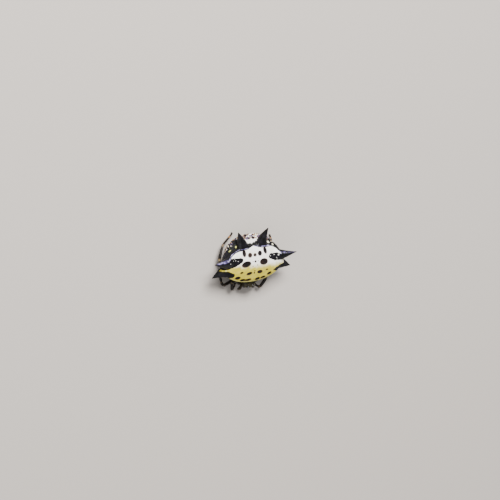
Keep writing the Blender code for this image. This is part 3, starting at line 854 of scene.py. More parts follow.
# the lilac here is a painted highlight, where the glossy black ridge and thorns catch the light
highlight_share = inside_mark("crest", 0.03, -0.05, 1.0) * dark_share
highlight_share = highlight_share * shell.between(mottle + speckle * 0.3, 0.46, 0.66)
lilac_highlight = shell.mix(inside_mark("crest", -0.025, -0.060, 0.6), *LILAC_HIGHLIGHT)
colour = shell.mix(highlight_share * 0.85, colour, lilac_highlight)
print("nodes with the thorns:", len(shell.tree.nodes))

# %% Pale marks on the walls
# on the upper wall, dots are yellow on her right and cream on her left; further down all is cream
side_colour = shell.mix(shell.between(across, 0.0, 1.0), WALL_YELLOW, WALL_CREAM)
side_colour = shell.mix(shell.between(turned_z, -1.20, -1.35), side_colour, PLEAT_CREAM)
rear_share = shell.between(shell.math("ABSOLUTE", across), 1.9, 1.3)
pale_colour = shell.mix(rear_share, side_colour, REAR_WHITE)
# some of the pale marks at the rear turn brown, violet or a warmer cream
brown = shell.between(shell.noise(0.30, 2.0) + (speckle - 0.5) * 0.4, 0.40, 0.50)
brown = brown * shell.between(turned_z, -1.00, -1.25) * shell.between(turned_y, 0.8, 1.4)
violet = shell.between(shell.noise(0.55, 1.0), 0.47, 0.53)
pale_colour = shell.mix(brown, pale_colour, shell.mix(violet, *BROWN_TO_VIOLET))
cream = shell.between(shell.noise(0.42, 1.0), 0.50, 0.60) * shell.between(turned_z, -1.30, -1.55)
pale_colour = shell.mix(cream * (1.0 - brown) * 0.8, pale_colour, CREAM)
pale_share = inside_mark("pale", 0.05, -0.06, 1.0) * dark_share
colour = shell.mix(pale_share, colour, pale_colour)
colour = shell.mix(inside_mark("plate_dots", 0.02, -0.02, 0.4), colour, DOT_WHITE)
print("nodes with the walls:", len(shell.tree.nodes))

# %% Spots, and the gloss of the shell
rim_share = inside_mark("spots", 0.065, 0.03) * (1.0 - dark_share)
colour = shell.mix(rim_share * 0.85, colour, RIM_BROWN)
spot_share = inside_mark("spots", 0.03, -0.01, 0.5)
colour = shell.mix(spot_share, colour, shell.mix(shell.between(mottle, 0.45, 0.75), *SPOT_BROWN))
colour = shell.mix(inside_mark("lungs", 0.03, -0.03, 1.0), colour, shell.mix(speckle, *LUNG_BROWN))
colour = shell.mix(inside_mark("wall_spots", 0.02, -0.02, 0.5) * pale_share, colour, WALL_DOT_BROWN)
# the walls and the spots are duller than the plate and the thorns
dull = shell.between(turned_z, -0.35, -0.75)
roughness = shell.blend(dark_share, 0.45, 0.34) + spot_share * 0.25 + dull * 0.30 + (speckle - 0.5) * 0.12
gloss = shell.blend(dark_share, 0.15, 0.14) * (1.0 - spot_share) * (1.0 - dull)
dress(abdomen, shell.finish(colour, roughness, grain * 0.5 + speckle, 0.012, gloss))

# %% [markdown]
# ## Legs
# Each leg is a chain of hollow segments: hip ring, thigh, knee piece, shin, and the slim last two
# that end in claws. They are drawn in under the plate, as she holds them at rest. One long tube
# follows the joints with rounded corners. It narrows at each joint, and a number on the mesh,
# the stage, counts joints along it, so that the colour bands know where they are.

# %% Numbers of the legs
HIP_HEIGHT = 0.88
# from the hip to the leg's inner end, which lies hidden in the body, in mm
INWARDS = (-0.35, 0.05, 0.06)
# hip, hip ring's end, knee, knee piece's end, ankle and tip in mm, with x counted outwards
LEGS = {
    "leg_1_left": ((0.62, -3.30), (1.10, -3.62, 1.00), (2.50, -2.62, 1.80), (2.93, -3.22, 1.82),
                   (1.93, -4.64, 1.27), (1.12, -3.80)),
    "leg_1_right": ((0.62, -3.30), (1.10, -3.62, 1.00), (2.18, -2.76, 1.86), (2.64, -3.10, 1.92),
                    (2.50, -4.38, 1.27), (1.46, -3.72)),
    "leg_2_left": ((0.78, -2.72), (1.34, -2.76, 0.84), (3.20, -2.52, 0.98), (3.74, -2.14, 1.04),
                   (4.14, -1.34, 0.92), (3.86, -0.72)),
    "leg_2_right": ((0.78, -2.72), (1.34, -2.76, 0.84), (3.66, -3.56, 0.94), (3.96, -2.92, 1.04),
                    (4.02, -1.78, 0.94), (3.55, -1.12)),
    "leg_3_left": ((0.78, -2.12), (1.34, -2.08, 0.86), (2.34, -2.00, 1.20), (2.84, -1.82, 1.16),
                   (3.20, -1.50, 0.78), (3.00, -0.98)),
    "leg_3_right": ((0.78, -2.12), (1.34, -2.08, 0.86), (2.30, -2.08, 1.18), (2.80, -1.92, 1.14),
                    (3.12, -1.62, 0.76), (2.92, -1.08)),
    "leg_4_left": ((0.62, -1.52), (1.12, -1.26, 0.96), (3.52, -0.62, 1.40), (4.06, 0.06, 1.52),
                   (4.40, 1.45, 1.34), (4.58, 2.62)),
    "leg_4_right": ((0.62, -1.52), (1.12, -1.26, 0.96), (3.90, -0.34, 1.44), (4.24, 0.50, 1.56),
                    (3.36, 2.53, 1.22), (1.36, 3.82)),
}
# the end of a leg stands upright on the floor and is this long
FOOT_LENGTH, FOOT_END = 0.40, 0.002
# a corner is rounded over this length in mm, or this share of a short segment
CORNER_LENGTH = 0.40
CORNER_SHARE = 0.45
CORNER_POINTS = 9
# stage along the leg and half its thickness
LEG_SHAPE = ((0.0, 0.26), (0.45, 0.27), (0.88, 0.23), (0.97, 0.185), (1.07, 0.215), (1.35, 0.235),
             (1.70, 0.225), (1.92, 0.20), (2.0, 0.165), (2.08, 0.20), (2.5, 0.215), (2.88, 0.195),
             (3.0, 0.15), (3.08, 0.17), (3.35, 0.185), (3.75, 0.17), (3.95, 0.145), (4.0, 0.125),
             (4.06, 0.135), (4.35, 0.125), (4.66, 0.118), (4.71, 0.10), (4.76, 0.112), (5.0, 0.105),
             (5.55, 0.09), (5.9, 0.07), (6.0, 0.05))
# the photo shows these legs a little stouter than the others
LEG_GIRTH = {"leg_1_left": 1.30, "leg_1_right": 1.18, "leg_4_right": 1.12}
LEG_GRAIN = 0.05
LEG_LUMPS = 0.006
TUBE_SIDES = 20
print("legs:", ", ".join(LEGS))


# %% Tubes along a route
def rounded_route(joints, grain):
    """Round the corners of a chain and give even points with their stage, which counts joints."""
    joints = [np.array(joint, float) for joint in joints]
    places, stages = [joints[0]], [0.0]
    for index in range(1, len(joints) - 1):
        before, corner, after = joints[index - 1:index + 2]
        share_in = min(CORNER_LENGTH / math.dist(before, corner), CORNER_SHARE)
        share_out = min(CORNER_LENGTH / math.dist(corner, after), CORNER_SHARE)
        start, end = corner + (before - corner) * share_in, corner + (after - corner) * share_out
        for share in np.linspace(0.0, 1.0, CORNER_POINTS):
            to_corner, from_corner = start + (corner - start) * share, corner + (end - corner) * share
            places.append(to_corner + (from_corner - to_corner) * share)
            lag = share_in * (1.0 - 2.0 * share) if share < 0.5 else share_out * (1.0 - 2.0 * share)
            stages.append(index - lag)
    places.append(joints[-1])
    stages.append(len(joints) - 1.0)
    steps = [0.0] + [math.dist(a, b) for a, b in zip(places, places[1:])]
    run = np.cumsum(steps)
    even = np.linspace(0.0, run[-1], int(run[-1] / grain) + 1)
    route = np.stack([np.interp(even, run, np.array(places)[:, axis]) for axis in range(3)], axis=1)
    return route, np.interp(even, run, stages)


def route_frames(route):
    """Give the direction at each point and two spokes square to it that never twist."""
    run = np.gradient(route, axis=0)
    run /= lengths(run)[:, None]
    spoke = np.cross(run[0], (0.3, 0.2, 1.0))
    spokes = []
    for direction in run:
        spoke = spoke - direction * (spoke @ direction)
        spoke = spoke / math.sqrt(spoke @ spoke)
        spokes.append(spoke)
    spokes = np.array(spokes)
    return run, spokes, np.cross(spokes, run)


def tube(name, route, radii, sides=TUBE_SIDES):
    """Stretch a ball along a route, one ring for each point, with round, closed ends."""
    rings = len(route) - 1
    piece = add_ball(name, sides, rings)
    along, around = ball_angles(piece)
    ring = np.rint(along * rings).astype(int)
    run, spokes, across = route_frames(route)
    steps = np.cumsum([0.0] + [math.dist(a, b) for a, b in zip(route, route[1:])])
    to_end = np.minimum(steps, steps[-1] - steps) / np.maximum(radii, 0.001)
    radii = radii * np.sqrt(np.clip(1.0 - (1.0 - np.clip(to_end, 0.0, 1.0)) ** 2, 0.0, 1.0))
    spoke = spokes[ring] * np.cos(around)[:, None] + across[ring] * np.sin(around)[:, None]
    write_points(piece, route[ring] + spoke * radii[ring][:, None])
    return piece, ring


def by_stage(table, stages):
    """Read a table of stages and values at some stages."""
    return np.interp(stages, *zip(*table))


# %% Skins of the legs
def leg_route(name):
    """Give a leg's points, from inside the body to the flat of its foot, and their stages."""
    side = 1.0 if name.endswith("left") else -1.0
    hip, ring_end, knee, knee_end, ankle, tip = LEGS[name]
    inner = (hip[0] + INWARDS[0], hip[1] + INWARDS[1], HIP_HEIGHT + INWARDS[2])
    joints = [inner, ring_end, knee, knee_end, ankle, (*tip, FOOT_LENGTH), (*tip, FOOT_END)]
    return rounded_route([(x * side, y, z) for x, y, z in joints], LEG_GRAIN)


def leg_radii(name, stages):
    return by_stage(LEG_SHAPE, stages) * LEG_GIRTH.get(name, 1.0)


legs = []
for name in LEGS:
    route, stages = leg_route(name)
    leg, ring = tube(name + "_skin", route, leg_radii(name, stages))
    points, normals = read_points(leg), read_normals(leg)
    points = points + normals * (LEG_LUMPS * rough(points, 0.13, 4.0))[:, None]
    points[:, 2] = np.maximum(points[:, 2], 0.0)
    write_points(leg, points)
    add_field(leg, "stage", stages[ring])
    finish_piece(leg, (name,))
    legs.append(leg)

# %% [markdown]
# ## Shell of the legs
# The legs are dark olive brown. Pale rings mark the end of the knee piece and the ankle, and an orange-brown
# band lies before the foot. On the front legs, which lie under the plate, the rings are darker: painted
# shade. A colour ramp on the stage holds the bands, and noise shifts their edges a little.

# %% Material of the legs
# stage and colour
LEG_BANDS = (
    (0.00, (0.024, 0.018, 0.010)), (0.92, (0.024, 0.017, 0.010)), (1.00, (0.080, 0.048, 0.025)),
    (1.10, (0.018, 0.013, 0.008)), (1.80, (0.014, 0.010, 0.007)), (2.00, (0.045, 0.028, 0.015)),
    (2.12, (0.016, 0.012, 0.008)), (2.80, (0.012, 0.009, 0.006)), (2.93, (0.270, 0.200, 0.105)),
    (3.02, (0.230, 0.160, 0.082)), (3.10, (0.008, 0.006, 0.005)), (3.84, (0.008, 0.006, 0.005)),
    (3.93, (0.150, 0.098, 0.050)), (4.00, (0.130, 0.080, 0.038)), (4.08, (0.010, 0.007, 0.005)),
    (4.56, (0.010, 0.007, 0.005)), (4.62, (0.230, 0.110, 0.038)), (4.71, (0.210, 0.095, 0.032)),
    (4.77, (0.012, 0.008, 0.006)), (6.00, (0.008, 0.006, 0.005)),
)
LAST_STAGE = 6.0
WORN = (0.050, 0.036, 0.018)
# a ring is a band brighter than this, and the rings of the front legs keep this share of it, as painted
# shade under the plate
RING_FROM = 0.1
RING_SHARE_IN_SHADE = 0.40


def jointed_material(name, bands):
    """Paint bands by stage, with uneven edges, fine hair pits and a soft gloss."""
    paint = Paint(name, coat=0.06, coat_roughness=0.25, specular=0.15)
    mottle = paint.noise(0.30, 3.0)
    grain = paint.noise(0.05, 2.0)
    place = (paint.field("stage") + (mottle - 0.5) * 0.10) * (1.0 / LAST_STAGE)
    stops = [(stage / LAST_STAGE, colour) for stage, colour in bands]
    banded = paint.node("ShaderNodeValToRGB", {"stops": stops}, {0: place})
    worn = paint.mix(paint.between(mottle, 0.55, 0.8) * 0.35, banded, WORN)
    return paint.finish(worn, 0.36 + (grain - 0.5) * 0.25, grain, 0.010)


leg_material = jointed_material("leg_shell", LEG_BANDS)
shaded_bands = [(stage, tuple(value * RING_SHARE_IN_SHADE if max(band) > RING_FROM else value for value in band))
              for stage, band in LEG_BANDS]
shaded_front_leg_material = jointed_material("front_leg_shell", shaded_bands)
for leg in legs:
    dress(leg, leg_material if leg.name.startswith("leg_4") else shaded_front_leg_material)
print("bands on a leg:", len(LEG_BANDS))

# %% [markdown]
# ## Front body
# The head and the chest are one shell, the carapace, with a flat breast plate under it and the
# narrow waist behind. In the CAD model they are solids with thin gaps. Here they are balls pulled
# to the same outlines and melted together.

# %% Numbers of the front body
# place along the body, half width, top and bottom, in mm
CARAPACE_STATIONS = ((-4.16, 0.0, 1.95, 1.95), (-4.12, 0.66, 2.34, 1.44), (-3.90, 0.93, 2.54, 1.32),
                     (-3.45, 1.02, 2.60, 1.30), (-3.02, 1.10, 2.48, 1.30), (-2.60, 1.30, 2.26, 1.30),
                     (-2.10, 1.40, 2.22, 1.30), (-1.70, 1.20, 2.08, 1.32), (-1.44, 0.76, 1.90, 1.40),
                     (-1.34, 0.0, 1.66, 1.66))
# the share of its height where it is widest, and the power that makes its section fuller
CARAPACE_WIDEST = 0.36
CARAPACE_POWER = 0.86
WAIST_RADIUS, WAIST_POINTS = 0.25, 24
FRONT_GRAIN = 0.045
print("outlines of the front body:", len(CARAPACE_STATIONS))


# %% Shape of the front body
def carapace_place(along, around):
    stations = smooth_table(CARAPACE_STATIONS, along * (len(CARAPACE_STATIONS) - 1))
    y, half_width, top, bottom = stations.T
    widest = bottom + (top - bottom) * CARAPACE_WIDEST
    across, rise = np.cos(around), np.sin(around)
    across = np.sign(across) * np.abs(across) ** CARAPACE_POWER
    rise = np.sign(rise) * np.abs(rise) ** CARAPACE_POWER
    reach = np.where(rise > 0.0, top - widest, widest - bottom)
    return np.stack([np.maximum(half_width, 0.0) * across, y, widest + reach * rise], axis=1)


def add_egg(name, centre, size, sides=32, rings=20):
    egg = add_ball(name, sides, rings)
    write_points(egg, read_points(egg) * np.array(size) + np.array(centre))
    return egg


front_body = add_ball("front_body_skin", 96, 64)
write_points(front_body, carapace_place(*ball_angles(front_body)))
inner_parts = [
    add_egg("chest", (0.0, -2.50, 1.20), (1.02, 1.10, 0.34)),
    add_egg("breast_plate", (0.0, -2.47, 0.88), (0.50, 0.80, 0.235)),
    add_egg("mouth_lobe_left", (0.21, -3.36, 0.88), (0.21, 0.27, 0.25)),
    add_egg("mouth_lobe_right", (-0.21, -3.36, 0.88), (0.21, 0.27, 0.25)),
]
waist_route = np.linspace((0.0, -1.60, 1.66), (0.0, -0.50, 1.86), WAIST_POINTS)
waist, ring = tube("waist", waist_route, np.full(WAIST_POINTS, WAIST_RADIUS))
join_pieces(front_body, inner_parts + [waist])
melt_together(front_body, FRONT_GRAIN)
smooth_all(front_body, 6)

# %% [markdown]
# ### Groove, pit and eye walls
# A groove runs where the head meets the chest. Behind it lies a pit, from which shallow furrows
# spread, because muscles are fixed inside there. A low wall round each eye holds it.

# %% Carve the front body
# depths and heights in mm
NECK_DEPTH, PIT_DEPTH, FURROW_DEPTH, EYE_WALL = 0.055, 0.07, 0.018, 0.05
NECK_Y, PIT_Y = -2.86, -2.25
FURROWS = 8
eyes = []
for name in frame["nodes"]:
    if name.startswith("eye_"):
        low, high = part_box(name)
        eyes.append((name, np.array((low + high) / 2.0) / MM, (high.x - low.x) / 2.0 / MM))
points, normals = read_points(front_body), read_normals(front_body)
# 1 on the upper side of the shell, 0 low on its sides
upper = soft_step(points[:, 2], 1.5, 1.9)
x, y = np.abs(points[:, 0]), points[:, 1]
neck = np.abs(y - NECK_Y - 0.45 * x) - 0.02
lifted = -NECK_DEPTH * soft_step(neck, 0.16, 0.0) * upper * soft_step(x, 0.05, 0.35)
lifted -= PIT_DEPTH * soft_step(np.hypot(x * 2.2, y - PIT_Y), 0.30, 0.0) * upper
spread = np.arctan2(y - PIT_Y, x)
lifted -= FURROW_DEPTH * soft_step(np.cos(spread * FURROWS), 0.55, 1.0) * upper * soft_step(y, -2.9, -2.7)
for name, centre, radius in eyes:
    away = lengths(points - centre)
    lifted += EYE_WALL * soft_step(np.abs(away - radius * 1.12), 0.07, 0.0)
lifted += 0.010 * rough(points, 0.25, 6.0) + 0.004 * rough(points, 0.08, 8.0)
write_points(front_body, points + normals * lifted[:, None])
finish_piece(front_body, ("carapace", "sternum", "pedicel"))

# %% Material of the front body
head = Paint("head_shell", coat=0.06, coat_roughness=0.3, specular=0.2)
mottle = head.noise(0.45, 3.0)
grain = head.noise(0.06, 2.0)
height = head.axis(2)
colour = head.mix(head.between(mottle, 0.35, 0.7), (0.010, 0.008, 0.004), (0.032, 0.025, 0.010))
# lower down, the shell is painted darker: painted shade under the head and between the legs
colour = head.mix(head.between(height, 1.6, 1.0) * 0.5, colour, (0.009, 0.006, 0.005))
dress(front_body, head.finish(colour, 0.38 + (grain - 0.5) * 0.25, grain, 0.012))

# %% [markdown]
# ## Eyes
# Eight small black lenses: four in the middle of the head and a pair at each side. The CAD
# eyes are coarse balls, so a finer one, a little flattened along its axis, stands for each.

# %% Eyes
lens = Paint("eye_lens", coat=0.3, coat_roughness=0.03, specular=0.5)
lens_glow = lens.between(lens.noise(0.12, 1.0), 0.3, 0.8)
lens_material = lens.finish(lens.mix(lens_glow, (0.002, 0.002, 0.003), (0.010, 0.006, 0.005)), 0.06)
for name, centre, radius in eyes:
    eye = add_egg(name + "_lens", centre, (radius, radius, radius * 0.98), 24, 16)
    finish_piece(eye, (name,))
    dress(eye, lens_material)

# %% [markdown]
# ## Jaws and feelers
# Two stout jaws hang from the head, each with a curved fang folded across its end. The short
# feelers beside them are built as small legs are.

# %% Jaws
# joints on her left side in mm, and stage with half the thickness
JAW_JOINTS = ((0.34, -3.74, 1.62), (0.37, -4.02, 1.06), (0.33, -4.10, 0.44))
JAW_SHAPE = ((0.0, 0.24), (0.5, 0.285), (1.0, 0.30), (1.4, 0.285), (1.7, 0.245), (1.88, 0.21), (2.0, 0.15))
FANG_JOINTS = ((0.36, -4.08, 0.56), (0.43, -4.09, 0.44), (0.34, -4.10, 0.33), (0.19, -4.04, 0.30))
FANG_SHAPE = ((0.0, 0.085), (1.0, 0.08), (2.0, 0.055), (3.0, 0.012))


def jointed_pair(name, joints, shape, replaced, grain=0.03):
    """Make a tube on her left side, and its mirror image on her right."""
    made = []
    for side, word in ((1.0, "left"), (-1.0, "right")):
        route, stages = rounded_route([(x * side, y, z) for x, y, z in joints], grain)
        piece, ring = tube(name + "_" + word, route, by_stage(shape, stages))
        add_field(piece, "stage", stages[ring])
        finish_piece(piece, tuple(node + word for node in replaced))
        made.append(piece)
    return made


jaws = jointed_pair("jaw", JAW_JOINTS, JAW_SHAPE, ("chelicera_",))
fangs = jointed_pair("fang", FANG_JOINTS, FANG_SHAPE, (), 0.02)

# %% Materials of the jaws and fangs
jaw_paint = Paint("jaw_shell", coat=0.4, coat_roughness=0.15)
mottle = jaw_paint.noise(0.25, 3.0)
jaw_share = jaw_paint.between(mottle, 0.35, 0.7)
jaw_colour = jaw_paint.mix(jaw_share, (0.016, 0.009, 0.006), (0.045, 0.022, 0.011))
jaw_material = jaw_paint.finish(jaw_colour, 0.30 + (mottle - 0.5) * 0.2, jaw_paint.noise(0.05, 2.0), 0.008)
fang_paint = Paint("fang_horn", coat=0.6, coat_roughness=0.08)
tip_share = fang_paint.between(fang_paint.field("stage"), 1.2, 2.6)
fang_colour = fang_paint.mix(tip_share, (0.020, 0.011, 0.008), (0.16, 0.045, 0.016))
fang_material = fang_paint.finish(fang_colour, 0.22)
for piece in jaws:
    dress(piece, jaw_material)
for piece in fangs:
    dress(piece, fang_material)

# %% Feelers
PALP_JOINTS = ((0.50, -3.56, 0.90), (0.98, -4.10, 1.16), (1.12, -4.44, 1.00), (1.12, -4.50, 0.46))
PALP_SHAPE = ((0.0, 0.20), (0.5, 0.22), (0.9, 0.19), (1.0, 0.155), (1.12, 0.19), (1.6, 0.205), (1.92, 0.18),
              (2.0, 0.15), (2.12, 0.18), (2.5, 0.185), (2.85, 0.14), (3.0, 0.08))
PALP_BANDS = (
    (0.0, (0.036, 0.027, 0.013)), (0.95, (0.034, 0.025, 0.012)), (1.0, (0.110, 0.078, 0.036)),
    (1.1, (0.026, 0.019, 0.009)), (1.9, (0.022, 0.016, 0.008)), (2.0, (0.130, 0.090, 0.040)),
    (2.15, (0.019, 0.014, 0.007)), (3.0, (0.010, 0.008, 0.005)),
)
palps = jointed_pair("palp_skin", PALP_JOINTS, PALP_SHAPE, ("palp_",), 0.035)
palp_material = jointed_material("palp_shell", PALP_BANDS)
for piece in palps:
    dress(piece, palp_material)

# %% [markdown]
# ## Spinnerets and genital plate
# At the lowest point of the belly three pairs of lobes, the spinnerets, sit on a ringed mound. The
# mound is a short drum whose lower cap is inset and pulled down step by step. In front of it lies
# the genital plate, a small egg with a short tongue. Each is melted into one skin.

# %% Spinnerets
# place and radius of each lobe, and how far its tip leans out
LOBES = ((0.15, -0.34, 0.13, 0.03), (0.25, -0.12, 0.10, 0.06), (0.13, 0.08, 0.12, 0.03))
LOBE_TOP, LOBE_END = -4.08, -4.46
# how far each ring of the mound is inset, and how far it then rises, or sinks if below zero
MOUND_RINGS = ((0.05, -0.05), (0.03, 0.03), (0.05, -0.07), (0.03, 0.03), (0.05, -0.06), (0.05, 0.02))
deselect_all()
bpy.ops.mesh.primitive_cylinder_add(vertices=48, radius=0.60, depth=0.30, location=(0.0, -0.15, -3.99))
spinnerets = bpy.context.object
spinnerets.name = "spinnerets_skin"
bpy.ops.object.transform_apply(location=True, rotation=False, scale=False)
edit_cap(spinnerets, -1.0)
for inset, rise in MOUND_RINGS:
    bpy.ops.mesh.inset(thickness=inset)
    bpy.ops.mesh.extrude_region_move(TRANSFORM_OT_translate={"value": (0.0, 0.0, rise)})
bpy.ops.object.mode_set(mode="OBJECT")
lobes = []
for x, y, radius, lean in LOBES:
    for side in (1.0, -1.0):
        start = np.array((x * side * 0.7, y, LOBE_TOP))
        end = np.array(((x + lean) * side, y + lean * 0.5, LOBE_END))
        lobe, ring = tube("lobe", np.linspace(start, end, 14), np.linspace(radius, radius * 0.75, 14), 16)
        lobes.append(lobe)
lobes.append(add_egg("tail_lobe", (0.0, 0.27, -4.20), (0.12, 0.10, 0.16), 16, 10))
join_pieces(spinnerets, lobes)
melt_together(spinnerets, 0.025)
smooth_all(spinnerets, 4)
finish_piece(spinnerets, ("spinnerets",), on_plate=True)
spin_paint = Paint("spinneret_shell", coat=0.2, coat_roughness=0.25)
mottle = spin_paint.noise(0.12, 3.0)
spin_share = spin_paint.between(mottle, 0.4, 0.7)
spin_colour = spin_paint.mix(spin_share, (0.008, 0.006, 0.005), (0.040, 0.024, 0.013))
dress(spinnerets, spin_paint.finish(spin_colour, 0.4, mottle, 0.008))

# %% Genital plate
# its place on the belly: row of the profiles, degrees round the body and radius
GENITAL_PLACE = (8.6, -90.0, 0.0)
deselect_all()
bpy.ops.mesh.primitive_cone_add(vertices=24, radius1=0.20, radius2=0.05, depth=0.34,
                                location=(0.0, 0.0, 0.0), rotation=(math.radians(205.0), 0.0, 0.0))
scape = bpy.context.object
bpy.ops.object.transform_apply(location=True, rotation=True, scale=True)
genital_plate = add_egg("genital_plate", (0.0, 0.0, 0.10), (0.36, 0.20, 0.12), 32, 20)
join_pieces(genital_plate, [scape])
melt_together(genital_plate, 0.02)
smooth_all(genital_plate, 4)
belly_front = np.array(skin_dots([GENITAL_PLACE])[0][:3])
write_points(genital_plate, read_points(genital_plate) + belly_front)
finish_piece(genital_plate, on_plate=True)
dress(genital_plate, jaw_material)
print("genital plate at", np.round(belly_front, 2))

# %% [markdown]
# ## Bristles, down and claws
# Her legs carry sparse, stiff bristles that lean towards the foot, and her head a short pale down.
# A hair is a thin cone with a slight bend. One cone is modelled, and code sets copies of it on the
# skin, each turned to the skin's own normal, and joins them, since the finished model has to be
# solid mesh. The draws come from a seeded generator, so they are the same each time.

# %% Copies of a shape
def take_shape(piece):
    """Read a piece's points and faces, and remove it."""
    points = read_points(piece)
    faces = [tuple(face.vertices) for face in piece.data.polygons]
    bpy.data.objects.remove(piece, do_unlink=True)
    return points, faces


def join_copies(name, copies, faces):
    """Make one piece of copies of a shape, each with points of its own and the same faces."""
    size = copies.shape[1]
    all_faces = [tuple(corner + start for corner in face)
                 for start in range(0, size * len(copies), size) for face in faces]
    mesh = bpy.data.meshes.new(name)
    mesh.from_pydata(copies.reshape(-1, 3).tolist(), [], all_faces)
    piece = bpy.data.objects.new(name, mesh)
    bpy.context.scene.collection.objects.link(piece)
    return piece


# %% One hair
HAIR_SIDES = 4
# how far the tip bends aside, as a share of the hair's length
HAIR_BEND = 0.18
# how thick the hair still is at half its length, as a share of its foot
HAIR_TAPER = 0.7
deselect_all()
bpy.ops.mesh.primitive_cylinder_add(vertices=HAIR_SIDES, radius=1.0, depth=1.0, location=(0.0, 0.0, 0.5))
hair = bpy.context.object
bpy.ops.object.transform_apply(location=True, rotation=False, scale=False)
edit_cap(hair, 1.0)
bpy.ops.transform.translate(value=(0.0, 0.0, -0.5))
bpy.ops.transform.resize(value=(HAIR_TAPER, HAIR_TAPER, 1.0))
bpy.ops.mesh.extrude_region_move(TRANSFORM_OT_translate={"value": (0.0, 0.0, 0.5)})
bpy.ops.mesh.merge(type="CENTER")
bpy.ops.object.mode_set(mode="OBJECT")
hair_points, hair_faces = take_shape(hair)
print("a hair has", len(hair_faces), "faces")


# %% Hairs on a skin
# on the map, every hair is a small patch at its root's place on an unwrap of its skin
BAKE_PATCH = 0.003
# a root lies this share of the hair's length under the skin
HAIR_SINK = 0.08
# no tip comes nearer to the CAD model's box than this, in mm
HAIR_MARGIN = 0.06
box_low, box_high = (np.array(corner) / MM for corner in cad_box)


def grow_hairs(name, roots, directions, lean, sizes, thickness, material, unwrapped):
    """Set a hair on each root, heading in its direction and bent over towards its lean."""
    directions = directions / lengths(directions)[:, None]
    tips = roots + directions * sizes[:, None]
    keep = np.all((tips > box_low + HAIR_MARGIN) & (tips < box_high - HAIR_MARGIN), axis=1)
    roots, directions, lean = roots[keep], directions[keep], lean[keep]
    sizes, unwrapped = sizes[keep], unwrapped[keep]
    side = np.cross(directions, lean)
    side /= np.maximum(lengths(side), 1.0e-6)[:, None]
    front = np.cross(directions, side)
    shape = hair_points[None, :, :]
    along = shape[:, :, 2] - HAIR_SINK
    bend = HAIR_BEND * sizes[:, None] * np.clip(shape[:, :, 2], 0.0, 1.0) ** 2
    points = roots[:, None, :] + directions[:, None, :] * (along * sizes[:, None])[:, :, None]
    points = points + side[:, None, :] * (shape[:, :, 0] * thickness)[:, :, None]
    points = points + front[:, None, :] * (shape[:, :, 1] * thickness - bend)[:, :, None]
    coat = join_copies(name, points, hair_faces)
    turn_faces_out(coat)
    corners = np.empty(len(coat.data.loops), int)
    coat.data.loops.foreach_get("vertex_index", corners)
    hairs, places = np.divmod(corners, len(hair_points))
    within = (hair_points[places][:, :2] + 1.0) * (BAKE_PATCH / 2.0)
    layer = coat.data.uv_layers.new(name="OFBake")
    layer.data.foreach_set("uv", (unwrapped[hairs] + within).ravel())
    finish_piece(coat)
    dress(coat, material)


def hair_material(name, dark, light):
    """Mix a dark and a light colour by soft noise, so that each hair differs from the next."""
    paint = Paint(name, specular=0.2)
    share = paint.between(paint.noise(0.12, 1.0), 0.35, 0.65)
    return paint.finish(paint.mix(share, dark, light), 0.5 + (share - 0.5) * 0.2)


# %% Bristles and fuzz on the legs
# how many a leg has, their shortest and longest length and half their thickness, in mm
BRISTLES = {"bristles": (70, 0.17, 0.30, 0.009), "fuzz": (260, 0.06, 0.12, 0.005)}
BRISTLE_LEAN = 0.85
# no hair stands on this share of a leg's points at its start, nor on this many at its end
BARE_START, BARE_END = 0.12, 4
HAIRS_FROM_STAGE = 0.9
draw = random.Random(13)
bristle_material = hair_material("bristle", (0.006, 0.005, 0.004), (0.045, 0.031, 0.018))
for name in LEGS:
    route, stages = leg_route(name)
    run, spokes, across_run = route_frames(route)
    radii = leg_radii(name, stages)
    first, last = int(len(route) * BARE_START), len(route) - BARE_END
    for word, (count, shortest, longest, thickness) in BRISTLES.items():
        picks = [draw.randrange(first, last) for index in range(count)]
        turns = np.array([draw.uniform(-math.pi, math.pi) for index in range(count)])
        sizes = np.array([draw.uniform(shortest, longest) for index in range(count)])
        spoke = spokes[picks] * np.cos(turns)[:, None] + across_run[picks] * np.sin(turns)[:, None]
        roots = route[picks] + spoke * radii[picks][:, None]
        headings = spoke + run[picks] * BRISTLE_LEAN
        unwrapped = np.stack([np.array(picks) / len(route), (turns / math.pi + 1.0) * 0.49], axis=1)
        keep = stages[picks] > HAIRS_FROM_STAGE
        grow_hairs(f"{name}_{word}", roots[keep], headings[keep], run[picks][keep], sizes[keep],
                   thickness, bristle_material, unwrapped[keep])

# %% [markdown]
# ### Down and finer hairs
# On the head, the breast, the feelers, the jaws and the spinnerets the roots are drawn from the
# points of the finished skin. The down keeps clear of the eyes.

# %% Hairs on a part of a skin
HAIR_SCATTER = 0.3


def hairs_on(piece, name, count, wanted, lean, shortest, longest, thickness, material):
    """Grow hairs on the part of a finished skin where wanted is true."""
    points, normals = read_points(piece) / MM, read_normals(piece)
    allowed = np.nonzero(wanted(points, normals))[0].tolist()
    picks = [draw.choice(allowed) for index in range(count)]
    sizes = np.array([draw.uniform(shortest, longest) for index in range(count)])
    scatter = np.array([[draw.uniform(-HAIR_SCATTER, HAIR_SCATTER) for axis in range(3)]
                        for index in range(count)])
    headings = normals[picks] + np.array(lean) + scatter
    spoke = points[picks] - points.mean(axis=0)
    spoke /= lengths(spoke)[:, None]
    unwrapped = np.stack([np.arctan2(spoke[:, 0], -spoke[:, 1]) / (2.0 * math.pi) + 0.5,
                          np.arccos(np.clip(spoke[:, 2], -1.0, 1.0)) / math.pi], axis=1) * 0.99
    leans = np.array(lean) + scatter * 0.1
    grow_hairs(name, points[picks], headings, leans, sizes, thickness, material, unwrapped)


# %% Down on the head, and hairs on the feelers, jaws and spinnerets
# the down leaves this much skin bare round each eye, in mm
BARE_ROUND_EYES = 0.07


def clear_of_eyes(points):
    gaps = [lengths(points - centre) - radius for name, centre, radius in eyes]
    return np.min(gaps, axis=0) > BARE_ROUND_EYES


